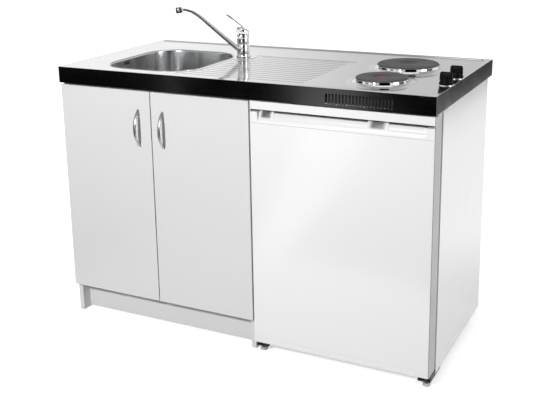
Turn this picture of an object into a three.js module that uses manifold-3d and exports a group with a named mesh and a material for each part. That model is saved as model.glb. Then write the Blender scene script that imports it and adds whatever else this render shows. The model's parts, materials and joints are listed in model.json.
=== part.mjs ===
// Kitchenette unit: a pressed steel worktop with a bowl, a ribbed drainer, a lever tap and two
// hotplates, on a two-door cupboard and a small refrigerator that stand side by side under it.
// Millimetres, +Z up, +X to the right, the front faces -Y and the unit stands on Z = 0.

import * as THREE from "three";
import { mergeVertices } from "three/addons/utils/BufferGeometryUtils.js";
import Module from "manifold-3d";

const wasm = await Module();
wasm.setup();

// ---------------------------------------------------------------- driving dimensions

// fits
const seat = 0.25; // gap between two pieces that bear on each other
const runningGap = 0.5; // gap between a turning or sliding piece and what carries it
const overlapCut = 5; // how far a cutting tool reaches past the face that it opens

// worktop
const topWidth = 1200;
const topDepth = 600;
const topHeight = 822;
const sheetGauge = 1;
const edgeHeight = 50;
const edgeGauge = 2;
const edgeTopFlange = 12;
const edgeBottomFlange = 23;
const backBeadWidth = 18;
const backBeadHeight = 4;
const backBeadFromBack = 10;
const backBeadFromSide = 15;

// cooling slots in the front edge
const ventCount = 20;
const ventPitch = 9.7;
const ventWidth = 5;
const ventHeight = 25;
const ventFromRight = 210;
const ventBelowTop = 26.5;

// bowl
const bowlWidth = 320;
const bowlLength = 374;
const bowlCorner = 100;
const bowlDepth = 150;
const bowlFromLeft = 270;
const bowlFromFront = 235;
const bowlLip = 8;
const bowlDraft = 8;
const bowlFloorRadius = 30;
const bowlFlange = 5;
const overflowSlots = 3;
const overflowSlotWidth = 4;
const overflowSlotHeight = 17;
const overflowSlotPitch = 9;
const overflowBelowTop = 19;
const overflowFromFront = 197;

// drainer
const drainerEndToHob = 77;
const drainerFront = 30;
const drainerBack = 405;
const drainerDepth = 3;
const drainerBorder = 12;
const drainerCorner = 12;
const drainerUnderBowl = 30;
const ribCount = 13;
const ribWidth = 9;
const ribHeight = 2.5;
const ribMargin = 20;

// waste
const drainFromBowlFront = 242;
const drainHole = 90;
const drainFlange = 114;
const drainCupDepth = 42;
const drainWall = 2;
const drainOutlet = 40;
const drainOutletDrop = 30;
const basketRim = 3;
const basketWall = 1.5;
const basketDepth = 30;
const basketSlots = 8;
const basketSlotWidth = 6;
const basketStem = 26;
const basketLift = 45;
const trapBottle = 76;
const trapBottleHeight = 82;
const trapNeck = 48;
const trapNeckHeight = 46;
const trapCap = 84;
const trapCapHeight = 16;
const trapArm = 50;
const wastePipe = 40;
const wastePipeWall = 2;
const wasteFromWall = 6;
const overflowPipe = 22;
const overflowBend = 26;

// hotplates and their controls
const hobFromRight = 195;
const rearPlateDiameter = 180;
const rearPlateY = 366;
const frontPlateDiameter = 145;
const frontPlateY = 139;
const plateHeight = 15;
const plateBody = 12;
const plateInset = 7;
const plateDish = 54;
const plateDishDepth = 2;
const plateEdge = 3;
const hobSides = 32; // the plates and their rings are cut into equally many sides
const studDiameter = 10;
const ringHeight = 11;
const ringSpread = 9;
const ringGauge = 1;
const knobFromRight = 22;
const frontKnobY = 160;
const rearKnobY = 262;
const knobDiameter = 38;
const knobHeight = 35;
const knobSkirt = 8;
const knobNeck = 15;
const knobGripWidth = 12;
const spindleDiameter = 6;
const spindleReach = 12;
const switchSize = 30;
const switchHeight = 36;
const switchBelow = 4;
const bushDiameter = 12;
const trayLeft = 315;
const trayFront = 32;
const trayBack = 480;
const trayFloor = 47;
const trayFlange = 10;
const trayLip = 12;

// tap
const tapFromBowl = 23;
const tapFromBowlBack = 54;
const tapIsland = 45;
const tapHole = 35;
const tapFlange = 46;
const tapFlangeHeight = 5;
const tapBarrel = 40;
const tapCore = 30;
const tapSleeveBottom = 10;
const tapSleeveTop = 44;
const tapBarrelTop = 71;
const tapCapHeight = 28;
const tapShank = 30;
const tapNut = 50;
const tapNutHeight = 8;
const spoutAzimuth = 216;
const spoutReach = 190;
const spoutRise = 159;
const spoutRoot = 18;
const spoutTip = 11;
const aeratorDiameter = 20;
const aeratorLength = 22;
const aeratorTilt = 6;
const leverHub = 16;
const leverHubWidth = 6;
const leverPivotAbove = 12;
const leverLength = 67;
const leverRise = 37;
const leverRod = 4.5;
const leverGrip = 6.5;

// cupboard
const cabinetWidth = 660;
const board = 16;
const cabinetFront = 23;
const cabinetFromWall = 25;
const backPanelGauge = 6;
const backPanelInset = 3;
const doorBottom = 98;
const doorTopGap = 6;
const doorFront = 5;
const doorSideGap = 1;
const doorMiddleGap = 3;
const plinthSetback = 58;
const plinthClearance = 4;
const railHeight = 60;
const serviceHoleWidth = 300;
const serviceHoleHeight = 320;
const serviceHoleBottom = 300;

// concealed hinges
const hingeFromEnd = 100;
const hingeCup = 35;
const hingeCupDepth = 11;
const hingeCupInset = 22;
const hingeCupWall = 1;
const hingeFlangeWidth = 38;
const hingeFlangeHeight = 62;
const hingeFlangeGauge = 1;
const hingeArmWidth = 14;
const hingeArmLength = 74;
const hingeArmRise = 12;
const hingePlateHeight = 48;
const hingePlateGauge = 3;
const hingePlateSetback = 20;
const hingePivotInset = 2;

// bow handles
const handleLength = 118;
const handleReach = 28;
const handleWidth = 10;
const handleThickness = 5;
const handleFoot = 11;
const handleFromMiddle = 43;
const handleMiddleHeight = 653;

// refrigerator
const fridgeGap = 2;
const fridgeDoorFront = 4;
const fridgeDoorThickness = 54;
const fridgeDoorInset = 1;
const fridgeDoorBottom = 33;
const fridgeDoorTopGap = 4;
const gasketDepth = 10;
const gasketWidth = 12;
const gasketFromEdge = 12;
const fridgeFromWall = 52;
const fridgeBottom = 18;
const fridgeWall = 38;
const fridgeTopWall = 40;
const fridgeFloor = 40;
const fridgeBackWall = 40;
const linerGauge = 2;
const bayHeight = 172;
const bayDepth = 148;
const bayWall = 30;
const baySkin = 10;
const bayRail = 8;
const rearFootSize = 40;
const gripHeight = 62;
const gripLip = 27;
const gripSlot = 10;
const gripSlotDepth = 12;
const gripPocketFromEdge = 25;
const gripPocketBottom = 7;
const gripPocketDepth = 28;
const doorCapHeight = 16;
const doorCapGroove = 1;
const hingePinDiameter = 8;
const hingePinFromSide = 14;
const hingePinFromFront = 26;
const hingePinLength = 16;
const hingePlate = 3;
const bracketGauge = 4;
const bracketLength = 90;
const bracketWidth = 38;
const frontFootDiameter = 22;
const skirtHeight = 13;

// inside the refrigerator
const shelfFront = 155;
const shelfGauge = 4;
const shelfHeight = 452;
const crisperCoverHeight = 236;
const ledgeWidth = 8;
const ledgeHeight = 6;
const ledgeLevels = 4;
const ledgePitch = 108;
const crisperFront = 170;
const crisperWall = 2.5;
const crisperGap = 6;
const crisperDrop = 14;
const crisperGrip = 10;
const linerPanelGauge = 3;
const dikeWidth = 14;
const dikeDepth = 66;
const dikeFromEdge = 51;
const dikeFromTop = 20;
const binDepth = 78;
const binWall = 2.5;
const lowerBinBottom = 76;
const lowerBinHeight = 110;
const upperBinBottom = 520;
const upperBinHeight = 70;
const thermostatWidth = 28;
const thermostatLength = 130;
const thermostatHeight = 80;
const thermostatFromFront = 142;
const thermostatFromTop = 50;
const thermostatKnob = 30;
const thermostatKnobDepth = 11;

// cooling machine at the back
const compressorDiameter = 124;
const compressorHeight = 132;
const compressorFoot = 10;
const compressorFromRight = 150;
const terminalBoxWidth = 52;
const terminalBoxHeight = 44;
const terminalBoxReach = 24;
const coilRuns = 9;
const coilPitch = 54;
const coilTube = 5;
const coilWires = 8;
const coilWire = 2;
const coilStandOff = 10;
const coilFromSide = 44;
const coilTopGap = 46;

// ---------------------------------------------------------------- lines worked out from them

const leftSide = -topWidth / 2;
const rightSide = topWidth / 2;
const underTop = topHeight - edgeHeight;
const bowlX = leftSide + bowlFromLeft;
const bowlY = bowlFromFront;
const bowlRight = bowlX + bowlWidth / 2;
const drainY = bowlY - bowlLength / 2 + drainFromBowlFront;
const hobX = rightSide - hobFromRight;
const knobX = rightSide - knobFromRight;
const tapX = bowlRight + tapFromBowl;
const tapY = bowlY + bowlLength / 2 - tapFromBowlBack;
const drainerLeft = bowlRight - drainerUnderBowl;
const drainerRight = hobX - rearPlateDiameter / 2 - drainerEndToHob;
const cabinetBack = topDepth - cabinetFromWall;
const cabinetLeft = leftSide;
const cabinetRight = leftSide + cabinetWidth;
const cabinetMiddle = (cabinetLeft + cabinetRight) / 2;
const doorTop = underTop - doorTopGap;
const doorBack = doorFront + board;
const doorWidth = (cabinetWidth - 2 * doorSideGap - doorMiddleGap) / 2;
const fridgeBack = topDepth - fridgeFromWall;
const fridgeLeft = cabinetRight + fridgeGap;
const fridgeRight = rightSide;
const fridgeDoorBack = fridgeDoorFront + fridgeDoorThickness;
const fridgeFront = fridgeDoorBack + gasketDepth + seat;
const fridgeDoorTop = underTop - fridgeDoorTopGap;
const cavityLeft = fridgeLeft + fridgeWall;
const cavityRight = fridgeRight - fridgeWall;
const cavityTop = underTop - fridgeTopWall;
const cavityBottom = fridgeBottom + fridgeFloor;
const cavityBack = fridgeBack - fridgeBackWall;
const bayTop = fridgeBottom + bayHeight;
const bayFront = fridgeBack - bayDepth;
const stepTop = bayTop + bayWall;
const stepFront = bayFront - bayWall;
const hingePinX = fridgeRight - hingePinFromSide;
const hingePinY = fridgeDoorFront + hingePinFromFront;
const depthMiddle = (topDepth + doorFront - handleReach) / 2;

// ---------------------------------------------------------------- making solids

// A closed three.js geometry as a solid: vertices merged, empty triangles left out, faces out.
function solidOf(geometry) {
  const bare = geometry.clone();
  for (const name of Object.keys(bare.attributes)) {
    if (name !== "position") bare.deleteAttribute(name);
  }
  const merged = mergeVertices(bare, 1e-4);
  const spots = merged.attributes.position;
  const corners = merged.index.array;
  const triangles = [];
  let volume = 0;
  const [a, b, c] = [new THREE.Vector3(), new THREE.Vector3(), new THREE.Vector3()];
  for (let i = 0; i < corners.length; i += 3) {
    const [p, q, r] = corners.slice(i, i + 3);
    if (p === q || q === r || r === p) continue;
    triangles.push(p, q, r);
    a.fromBufferAttribute(spots, p);
    b.fromBufferAttribute(spots, q);
    c.fromBufferAttribute(spots, r);
    volume += a.dot(b.cross(c));
  }
  if (volume < 0) triangles.reverse();
  return new wasm.Manifold(
    new wasm.Mesh({
      numProp: 3,
      vertProperties: new Float32Array(spots.array),
      triVerts: new Uint32Array(triangles),
    }),
  );
}

function geometryOf(solid) {
  const { vertProperties, triVerts } = solid.getMesh();
  const geometry = new THREE.BufferGeometry();
  geometry.setAttribute("position", new THREE.BufferAttribute(vertProperties, 3));
  geometry.setIndex(new THREE.BufferAttribute(triVerts, 1));
  geometry.computeVertexNormals();
  return geometry;
}

const join = (first, ...rest) => rest.reduce((whole, next) => whole.add(next), first);
const cut = (first, ...tools) => tools.reduce((whole, tool) => whole.subtract(tool), first);

// A box between two limits on each axis.
function block([x0, x1], [y0, y1], [z0, z1]) {
  const geometry = new THREE.BoxGeometry(x1 - x0, y1 - y0, z1 - z0);
  geometry.translate((x0 + x1) / 2, (y0 + y1) / 2, (z0 + z1) / 2);
  return solidOf(geometry);
}

// An outline pushed along one axis from low to high. The outline is drawn in the plane across
// that axis: (x, y) for z, (y, z) for x and (x, z) for y.
const drawnAcross = {
  z: new THREE.Matrix4(),
  x: new THREE.Matrix4().set(0, 0, 1, 0, 1, 0, 0, 0, 0, 1, 0, 0, 0, 0, 0, 1),
  y: new THREE.Matrix4().set(1, 0, 0, 0, 0, 0, -1, 0, 0, 1, 0, 0, 0, 0, 0, 1),
};
function prism(axis, outline, low, high, curveSegments = 3) {
  const depth = high - low;
  const geometry = new THREE.ExtrudeGeometry(outline, { depth, curveSegments, bevelEnabled: false });
  geometry.translate(0, 0, axis === "y" ? -high : low);
  geometry.applyMatrix4(drawnAcross[axis]);
  return solidOf(geometry);
}

function polygon(points) {
  return new THREE.Shape(points.map(([u, v]) => new THREE.Vector2(u, v)));
}

function roundedBox([u0, u1], [v0, v1], radius) {
  const outline = new THREE.Shape();
  outline.moveTo(u0 + radius, v0);
  outline.lineTo(u1 - radius, v0);
  outline.absarc(u1 - radius, v0 + radius, radius, -Math.PI / 2, 0);
  outline.lineTo(u1, v1 - radius);
  outline.absarc(u1 - radius, v1 - radius, radius, 0, Math.PI / 2);
  outline.lineTo(u0 + radius, v1);
  outline.absarc(u0 + radius, v1 - radius, radius, Math.PI / 2, Math.PI);
  outline.lineTo(u0, v0 + radius);
  outline.absarc(u0 + radius, v0 + radius, radius, Math.PI, Math.PI * 1.5);
  return outline;
}

// A slot with two round ends, long way along v.
function slotOutline(u, v, width, length) {
  const half = width / 2;
  const straight = length / 2 - half;
  const outline = new THREE.Shape();
  outline.moveTo(u + half, v - straight);
  outline.lineTo(u + half, v + straight);
  outline.absarc(u, v + straight, half, 0, Math.PI);
  outline.lineTo(u - half, v - straight);
  outline.absarc(u, v - straight, half, Math.PI, 2 * Math.PI);
  return outline;
}

// A profile of (radius, height) points turned about Z. It starts and ends on the axis or closes.
function turned(profile, sides = 24) {
  const points = profile.map(([radius, height]) => new THREE.Vector2(radius, height));
  const geometry = new THREE.LatheGeometry(points, sides);
  geometry.rotateX(Math.PI / 2);
  return solidOf(geometry);
}

function closedProfile(profile) {
  return [...profile, profile[0]];
}

function rod(diameter, low, high, sides = 16) {
  const radius = diameter / 2;
  return turned([[0, low], [radius, low], [radius, high], [0, high]], sides);
}

// A skin through rings of equally many points, closed at both ends.
function loft(rings) {
  const count = rings[0].length;
  const spots = rings.flat();
  const index = [];
  for (let r = 0; r + 1 < rings.length; r += 1) {
    for (let i = 0; i < count; i += 1) {
      const next = (i + 1) % count;
      const [a, b] = [r * count + i, r * count + next];
      index.push(a, b, b + count, a, b + count, a + count);
    }
  }
  const middles = [rings[0], rings[rings.length - 1]].map((ring) => {
    const middle = new THREE.Vector3();
    ring.forEach((spot) => middle.add(spot));
    return middle.divideScalar(count);
  });
  const last = (rings.length - 1) * count;
  for (let i = 0; i < count; i += 1) {
    const next = (i + 1) % count;
    index.push(spots.length, next, i);
    index.push(spots.length + 1, last + i, last + next);
  }
  const geometry = new THREE.BufferGeometry().setFromPoints([...spots, ...middles]);
  geometry.setIndex(index);
  return solidOf(geometry);
}

// A round bar along a curve, as thick as radiusAt says at each step from 0 to 1.
function bar(curve, steps, sides, radiusAt, squash = 1) {
  const frames = curve.computeFrenetFrames(steps, false);
  const rings = [];
  for (let s = 0; s <= steps; s += 1) {
    const middle = curve.getPointAt(s / steps);
    const radius = radiusAt(s / steps);
    const ring = [];
    for (let i = 0; i < sides; i += 1) {
      const turn = (2 * Math.PI * i) / sides;
      ring.push(
        middle
          .clone()
          .addScaledVector(frames.normals[s], radius * squash * Math.cos(turn))
          .addScaledVector(frames.binormals[s], radius * Math.sin(turn)),
      );
    }
    rings.push(ring);
  }
  return loft(rings);
}

// ---------------------------------------------------------------- finishes

const finishes = {
  steel: { color: 0xd2d4d6, roughness: 0.22, metalness: 1 },
  bowlSteel: { color: 0xb9bbbd, roughness: 0.35, metalness: 1 },
  blackEdge: { color: 0x0e0e0f, roughness: 0.35, metalness: 0 },
  chrome: { color: 0xe6e8ea, roughness: 0.08, metalness: 1 },
  castIron: { color: 0x2b2c2e, roughness: 0.7, metalness: 0.3 },
  blackPlastic: { color: 0x101011, roughness: 0.4, metalness: 0 },
  galvanised: { color: 0x9a9da0, roughness: 0.5, metalness: 0.8 },
  whitePlastic: { color: 0xf2f2f2, roughness: 0.35, metalness: 0 },
  whiteBoard: { color: 0xe6e6e6, roughness: 0.5, metalness: 0 },
  whitePaint: { color: 0xf0f0f0, roughness: 0.3, metalness: 0 },
  satinNickel: { color: 0xa8a9aa, roughness: 0.35, metalness: 1 },
  greySeal: { color: 0x8b8d8f, roughness: 0.7, metalness: 0 },
  clearPlastic: { color: 0xdfe8ea, roughness: 0.15, metalness: 0, transparent: true, opacity: 0.5 },
  shelfGlass: { color: 0xd4e4df, roughness: 0.05, metalness: 0, transparent: true, opacity: 0.4 },
  blackPaint: { color: 0x151516, roughness: 0.5, metalness: 0.2 },
};

function part(name, solid, finish) {
  const mesh = new THREE.Mesh(geometryOf(solid), new THREE.MeshStandardMaterial(finishes[finish]));
  mesh.name = name;
  return mesh;
}

function group(position, ...children) {
  const holder = new THREE.Group();
  holder.position.set(...position);
  for (const child of children) holder.add(child);
  return holder;
}

// ---------------------------------------------------------------- worktop
// Drawn with Z = 0 at the steel surface.

function bowlOutline(grow) {
  return polygon(bowlRing(-grow, 0).map(({ x, y }) => [x, y]));
}

// The bowl's right rim at a given depth into the worktop.
function bowlEdgeAt(y) {
  const beyond = Math.abs(y - bowlY) - (bowlLength / 2 - bowlCorner);
  const dip = Math.min(Math.max(beyond, 0), bowlCorner);
  return bowlRight - bowlCorner + Math.sqrt(bowlCorner ** 2 - dip ** 2);
}

// The sunk drainer field, grown all round, between two heights. It leaves a rim round the bowl
// and a level island for the tap.
function drainerField(grow, low, high) {
  const field = prism(
    "z",
    roundedBox(
      [drainerLeft - grow, drainerRight + grow],
      [drainerFront - grow, drainerBack + grow],
      drainerCorner + grow,
    ),
    low,
    high,
  );
  const rim = prism("z", bowlOutline(drainerBorder - grow), low - overlapCut, high + overlapCut);
  const island = rod(2 * (tapIsland - grow), low - overlapCut, high + overlapCut, 24);
  const behind = block([leftSide, tapX], [tapY, topDepth], [low - overlapCut, high + overlapCut]);
  return cut(field, rim, island.translate([tapX, tapY, 0]), behind);
}

// Half an ellipse on a line, as (y, z) points: the section of a pressed rib or bead.
function ribSection(middle, base, width, height) {
  const steps = 4;
  const points = [];
  for (let i = 0; i <= steps; i += 1) {
    const turn = (Math.PI * i) / steps;
    points.push([middle + (width / 2) * Math.cos(turn), base + height * Math.sin(turn)]);
  }
  return points;
}

// A rib pressed up out of the sheet: a raised ridge with the same shape hollow under it.
function pressRib(sheet, y, surface, width, height, [x0, x1]) {
  const ridge = prism("x", polygon(ribSection(y, surface - sheetGauge / 2, width, height)), x0, x1);
  const hollow = prism(
    "x",
    polygon(ribSection(y, surface - 2 * sheetGauge, width - sheetGauge, height)),
    x0 + sheetGauge,
    x1 - sheetGauge,
  );
  return cut(join(sheet, ridge), hollow);
}

function worktopSheet() {
  let sheet = join(
    block([leftSide + edgeGauge, rightSide - edgeGauge], [edgeGauge, topDepth], [-sheetGauge, 0]),
    block([leftSide, rightSide], [topDepth - sheetGauge, topDepth], [-edgeHeight, 0]),
    drainerField(sheetGauge, -drainerDepth - sheetGauge, 0),
  );
  sheet = cut(sheet, drainerField(0, -drainerDepth, overlapCut));
  const ribSpan = drainerBack - drainerFront - 2 * ribMargin;
  for (let i = 0; i < ribCount; i += 1) {
    const y = drainerFront + ribMargin + (ribSpan * i) / (ribCount - 1);
    const fromTap = Math.abs(y - tapY);
    const clearOfTap = tapIsland + ribWidth;
    let left = Math.max(bowlEdgeAt(y) + drainerBorder + ribWidth, drainerLeft + ribWidth);
    if (fromTap < clearOfTap) {
      left = Math.max(left, tapX + Math.sqrt(clearOfTap ** 2 - fromTap ** 2));
    }
    const right = drainerRight - ribMargin;
    sheet = pressRib(sheet, y, -drainerDepth, ribWidth, ribHeight, [left, right]);
  }
  sheet = pressRib(
    sheet,
    topDepth - backBeadFromBack - backBeadWidth / 2,
    0,
    backBeadWidth,
    backBeadHeight,
    [leftSide + backBeadFromSide, rightSide - backBeadFromSide],
  );
  const hole = (diameter, x, y) => rod(diameter, -overlapCut, overlapCut, 32).translate([x, y, 0]);
  return cut(
    sheet,
    prism("z", bowlOutline(seat), -overlapCut, overlapCut),
    hole(tapHole, tapX, tapY),
    hole(rearPlateDiameter - 2 * plateInset + 2 * ringGauge, hobX, rearPlateY),
    hole(frontPlateDiameter - 2 * plateInset + 2 * ringGauge, hobX, frontPlateY),
    hole(bushDiameter + 2 * seat, knobX, frontKnobY),
    hole(bushDiameter + 2 * seat, knobX, rearKnobY),
  );
}

function bowlRing(inset, height) {
  const ring = [];
  const radius = Math.max(bowlCorner - inset, bowlLip);
  const reachX = bowlWidth / 2 - inset - radius;
  const reachY = bowlLength / 2 - inset - radius;
  const cornerSteps = 6;
  const quarters = [[1, 1], [-1, 1], [-1, -1], [1, -1]];
  quarters.forEach(([sx, sy], quarter) => {
    for (let i = 0; i <= cornerSteps; i += 1) {
      const turn = (Math.PI / 2) * (quarter + i / cornerSteps);
      const x = bowlX + sx * reachX + radius * Math.cos(turn);
      const y = bowlY + sy * reachY + radius * Math.sin(turn);
      ring.push(new THREE.Vector3(x, y, height));
    }
  });
  return ring;
}

// The bowl: a rolled lip, drawn walls that close in a little, a wide floor radius, a flange that
// is welded under the sheet, the waste hole and the overflow slots.
function sinkBowl() {
  const wallFoot = bowlLip + bowlDraft;
  const steps = 4;
  const inner = [bowlRing(0, overlapCut), bowlRing(0, 0)];
  const outer = [bowlRing(0, 0), bowlRing(0, -2 * sheetGauge)];
  for (let i = 1; i <= steps; i += 1) {
    const turn = (Math.PI / 2) * (i / steps);
    inner.push(bowlRing(bowlLip * Math.sin(turn), -bowlLip * (1 - Math.cos(turn))));
  }
  outer.push(bowlRing(bowlLip - sheetGauge, -bowlLip));
  for (let i = 0; i <= steps; i += 1) {
    const turn = (Math.PI / 2) * (i / steps);
    const inset = wallFoot + bowlFloorRadius * (1 - Math.cos(turn));
    const height = -bowlDepth + bowlFloorRadius * (1 - Math.sin(turn));
    inner.push(bowlRing(inset, height));
    outer.push(bowlRing(inset - sheetGauge * Math.cos(turn), height - sheetGauge * Math.sin(turn)));
  }
  const flange = prism("z", bowlOutline(bowlFlange), -2 * sheetGauge, -sheetGauge);
  let bowl = cut(join(loft(outer), flange), loft(inner));
  bowl = cut(
    bowl,
    rod(drainHole, -bowlDepth - 2 * overlapCut, -bowlDepth + overlapCut, 32)
      .translate([bowlX, drainY, 0]),
  );
  for (let i = 0; i < overflowSlots; i += 1) {
    const y = overflowFromFront + (i - (overflowSlots - 1) / 2) * overflowSlotPitch;
    const slot = slotOutline(y, -overflowBelowTop, overflowSlotWidth, overflowSlotHeight);
    const wall = bowlX - bowlWidth / 2 + bowlLip;
    bowl = cut(bowl, prism("x", slot, wall - 2 * overlapCut, wall + 2 * overlapCut));
  }
  return bowl;
}

// The black edge is a folded strip: a web that frames the sheet, a top flange that the sheet lies
// on and a bottom flange that rests on the cupboard and the refrigerator.
function edgeFront() {
  let edge = join(
    block([leftSide, rightSide], [0, edgeGauge], [-edgeHeight, 0]),
    block(
      [leftSide + edgeGauge, rightSide - edgeGauge],
      [0, edgeGauge + edgeTopFlange],
      [-sheetGauge - edgeGauge, -sheetGauge],
    ),
    block(
      [leftSide + edgeGauge, rightSide - edgeGauge],
      [0, edgeGauge + edgeBottomFlange],
      [-edgeHeight, -edgeHeight + edgeGauge],
    ),
  );
  for (let i = 0; i < ventCount; i += 1) {
    const x = rightSide - ventFromRight + (i - (ventCount - 1) / 2) * ventPitch;
    const slot = slotOutline(x, -ventBelowTop, ventWidth, ventHeight);
    edge = cut(edge, prism("y", slot, -overlapCut, edgeGauge + overlapCut, 2));
  }
  return edge;
}

function edgeSide(side) {
  const across = (near, far) => [Math.min(side * near, side * far), Math.max(side * near, side * far)];
  const outside = topWidth / 2;
  const back = topDepth - sheetGauge;
  return join(
    block(across(outside, outside - edgeGauge), [edgeGauge, back], [-edgeHeight, 0]),
    block(
      across(outside, outside - edgeGauge - edgeTopFlange),
      [edgeGauge + edgeTopFlange, back],
      [-sheetGauge - edgeGauge, -sheetGauge],
    ),
    block(
      across(outside, outside - edgeGauge - edgeBottomFlange),
      [edgeGauge + edgeBottomFlange, back],
      [-edgeHeight, -edgeHeight + edgeGauge],
    ),
  );
}

// ---------------------------------------------------------------- hob

// A cast hotplate: a flat top with a dished middle, a body that hangs through the sheet and the
// stud that pulls it down on its ring.
function hotplate(diameter) {
  const rim = diameter / 2;
  const body = rim - plateInset;
  const dish = plateDish / 2;
  const foot = sheetGauge + seat;
  return turned(
    [
      [0, plateHeight - plateDishDepth],
      [dish - plateDishDepth, plateHeight - plateDishDepth],
      [dish + plateDishDepth, plateHeight],
      [rim - plateEdge, plateHeight],
      [rim, plateHeight - plateEdge],
      [rim, foot],
      [body, foot],
      [body, -plateBody],
      [studDiameter / 2, -plateBody],
      [studDiameter / 2, -trayFloor + sheetGauge + seat],
      [0, -trayFloor + sheetGauge + seat],
    ],
    hobSides,
  );
}

// The bright ring that the plate sits in: a foot on the sheet and a rolled wall up to the rim.
function spillRing(diameter) {
  const rim = diameter / 2 + seat;
  const foot = rim + ringSpread;
  const steps = 3;
  const outside = [];
  const inside = [];
  for (let i = 0; i <= steps; i += 1) {
    const turn = (Math.PI / 2) * (i / steps);
    const height = ringHeight * Math.sin(turn);
    outside.push([foot - ringSpread * (1 - Math.cos(turn)) + ringGauge, height]);
    inside.unshift([foot - ringSpread * (1 - Math.cos(turn)), Math.max(height - ringGauge, ringGauge)]);
  }
  inside[0] = [rim, ringHeight];
  const innerFoot = diameter / 2 - plateInset + 2 * ringGauge;
  return turned(closedProfile([[innerFoot, 0], ...outside, ...inside, [innerFoot, ringGauge]]), hobSides);
}

// A control knob: a skirt, a neck and a bar to grip, on the spindle of its switch.
function hobKnob() {
  const radius = knobDiameter / 2;
  const skirtBottom = 2 * seat;
  const round = turned(
    [
      [0, -spindleReach],
      [spindleDiameter / 2, -spindleReach],
      [spindleDiameter / 2, skirtBottom],
      [radius, skirtBottom],
      [radius, knobSkirt],
      [radius - 2, knobSkirt + 2],
      [radius - 3, knobNeck],
      [0, knobNeck],
    ],
    24,
  );
  const grip = prism(
    "z",
    slotOutline(0, 0, knobGripWidth, knobDiameter - 2),
    knobNeck - 1,
    knobHeight,
    4,
  ).rotate([0, 0, 90]);
  const bulge = turned([[0, knobNeck - 1], [radius - 1, knobNeck - 1], [radius - 1, knobHeight - 3],
    [radius - 4, knobHeight], [0, knobHeight]], 24);
  return join(round, grip.intersect(bulge));
}

// The rotary switch under the sheet, with the threaded bush that the spindle turns in.
function hobSwitch() {
  const half = switchSize / 2;
  const body = block([-half, half], [-half, half], [-switchHeight - switchBelow, -switchBelow]);
  const bush = rod(bushDiameter, -switchBelow - 1, seat, 20);
  const bore = rod(spindleDiameter + 2 * seat, -spindleReach - seat, overlapCut, 20);
  return cut(join(body, bush), bore);
}

// The folded pan that covers the live side of the plates from below.
function hobTray() {
  const right = rightSide - edgeGauge - sheetGauge;
  const left = rightSide - trayLeft;
  const wallTop = -sheetGauge - edgeGauge - seat;
  const floor = [-trayFloor, -trayFloor + sheetGauge];
  return join(
    block([left, right], [trayFront, trayBack], floor),
    block([left, left + sheetGauge], [trayFront, trayBack], [-trayFloor, -sheetGauge]),
    block([left - trayFlange, left + sheetGauge], [trayFront, trayBack], [-2 * sheetGauge, -sheetGauge]),
    block([right - sheetGauge, right], [trayFront, trayBack], [-trayFloor, wallTop]),
    block([left, right], [trayBack - sheetGauge, trayBack], [-trayFloor, wallTop]),
    block([left, right], [trayFront, trayFront + sheetGauge], [-trayFloor, -trayFloor + trayLip]),
  );
}

function hob() {
  const unit = group([hobX, 0, 0]);
  const plates = [["rear", rearPlateDiameter, rearPlateY], ["front", frontPlateDiameter, frontPlateY]];
  for (const [place, diameter, y] of plates) {
    unit.add(
      group(
        [0, y, 0],
        part(`hotplate_${place}`, hotplate(diameter), "castIron"),
        part(`spill_ring_${place}`, spillRing(diameter), "chrome"),
      ),
    );
  }
  for (const [place, y] of [["rear", rearKnobY], ["front", frontKnobY]]) {
    unit.add(
      group(
        [knobX - hobX, y, 0],
        part(`hob_knob_${place}`, hobKnob(), "blackPlastic"),
        part(`hob_switch_${place}`, hobSwitch(), "blackPlastic"),
      ),
    );
  }
  return unit;
}

// ---------------------------------------------------------------- tap
// Drawn about the tap's own axis, with +X the way that the spout points.

function tapBody() {
  const flange = tapFlange / 2;
  const barrel = tapBarrel / 2;
  const core = tapCore / 2;
  const nut = tapNut / 2;
  const shank = tapHole / 2 - 1;
  const nutTop = -sheetGauge - seat;
  return turned(
    [
      [0, -tapShank],
      [shank, -tapShank],
      [shank, nutTop - tapNutHeight],
      [nut, nutTop - tapNutHeight],
      [nut, nutTop],
      [shank, nutTop],
      [shank, seat],
      [flange, seat],
      [flange, tapFlangeHeight - 2],
      [barrel + 1, tapFlangeHeight],
      [barrel, tapSleeveBottom],
      [core, tapSleeveBottom],
      [core, tapSleeveTop],
      [barrel, tapSleeveTop],
      [barrel, tapBarrelTop],
      [0, tapBarrelTop],
    ],
    24,
  );
}

function spoutCurve() {
  const rootHeight = (tapSleeveBottom + tapSleeveTop) / 2;
  const dip = Math.tan(THREE.MathUtils.degToRad(aeratorTilt));
  const at = (along, up) => new THREE.Vector3(
    tapCore / 2 + 2 + along * (spoutReach - tapCore / 2 - 2),
    0,
    rootHeight + up * (spoutRise - rootHeight),
  );
  const crest = at(0.93, 1);
  const tip = new THREE.Vector3(crest.x + 12, 0, crest.z - 12 * dip);
  return new THREE.CatmullRomCurve3(
    [at(0, 0), at(0.25, 0.27), at(0.5, 0.575), at(0.68, 0.81), at(0.82, 0.95), crest, tip],
    false,
    "centripetal",
  );
}

// The spout turns on the tap's core: a sleeve and a tube that thins towards the outlet.
function tapSpout() {
  const sleeve = turned(
    closedProfile([
      [tapCore / 2 + runningGap, tapSleeveBottom + runningGap],
      [tapBarrel / 2, tapSleeveBottom + runningGap],
      [tapBarrel / 2, tapSleeveTop - runningGap],
      [tapCore / 2 + runningGap, tapSleeveTop - runningGap],
    ]),
    24,
  );
  const thickness = (t) => (spoutRoot + (spoutTip - spoutRoot) * Math.min(1, t * 1.6)) / 2;
  const room = rod(tapCore + 2 * runningGap, 0, tapBarrelTop, 24);
  return cut(join(sleeve, bar(spoutCurve(), 14, 10, thickness)), room);
}

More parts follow.
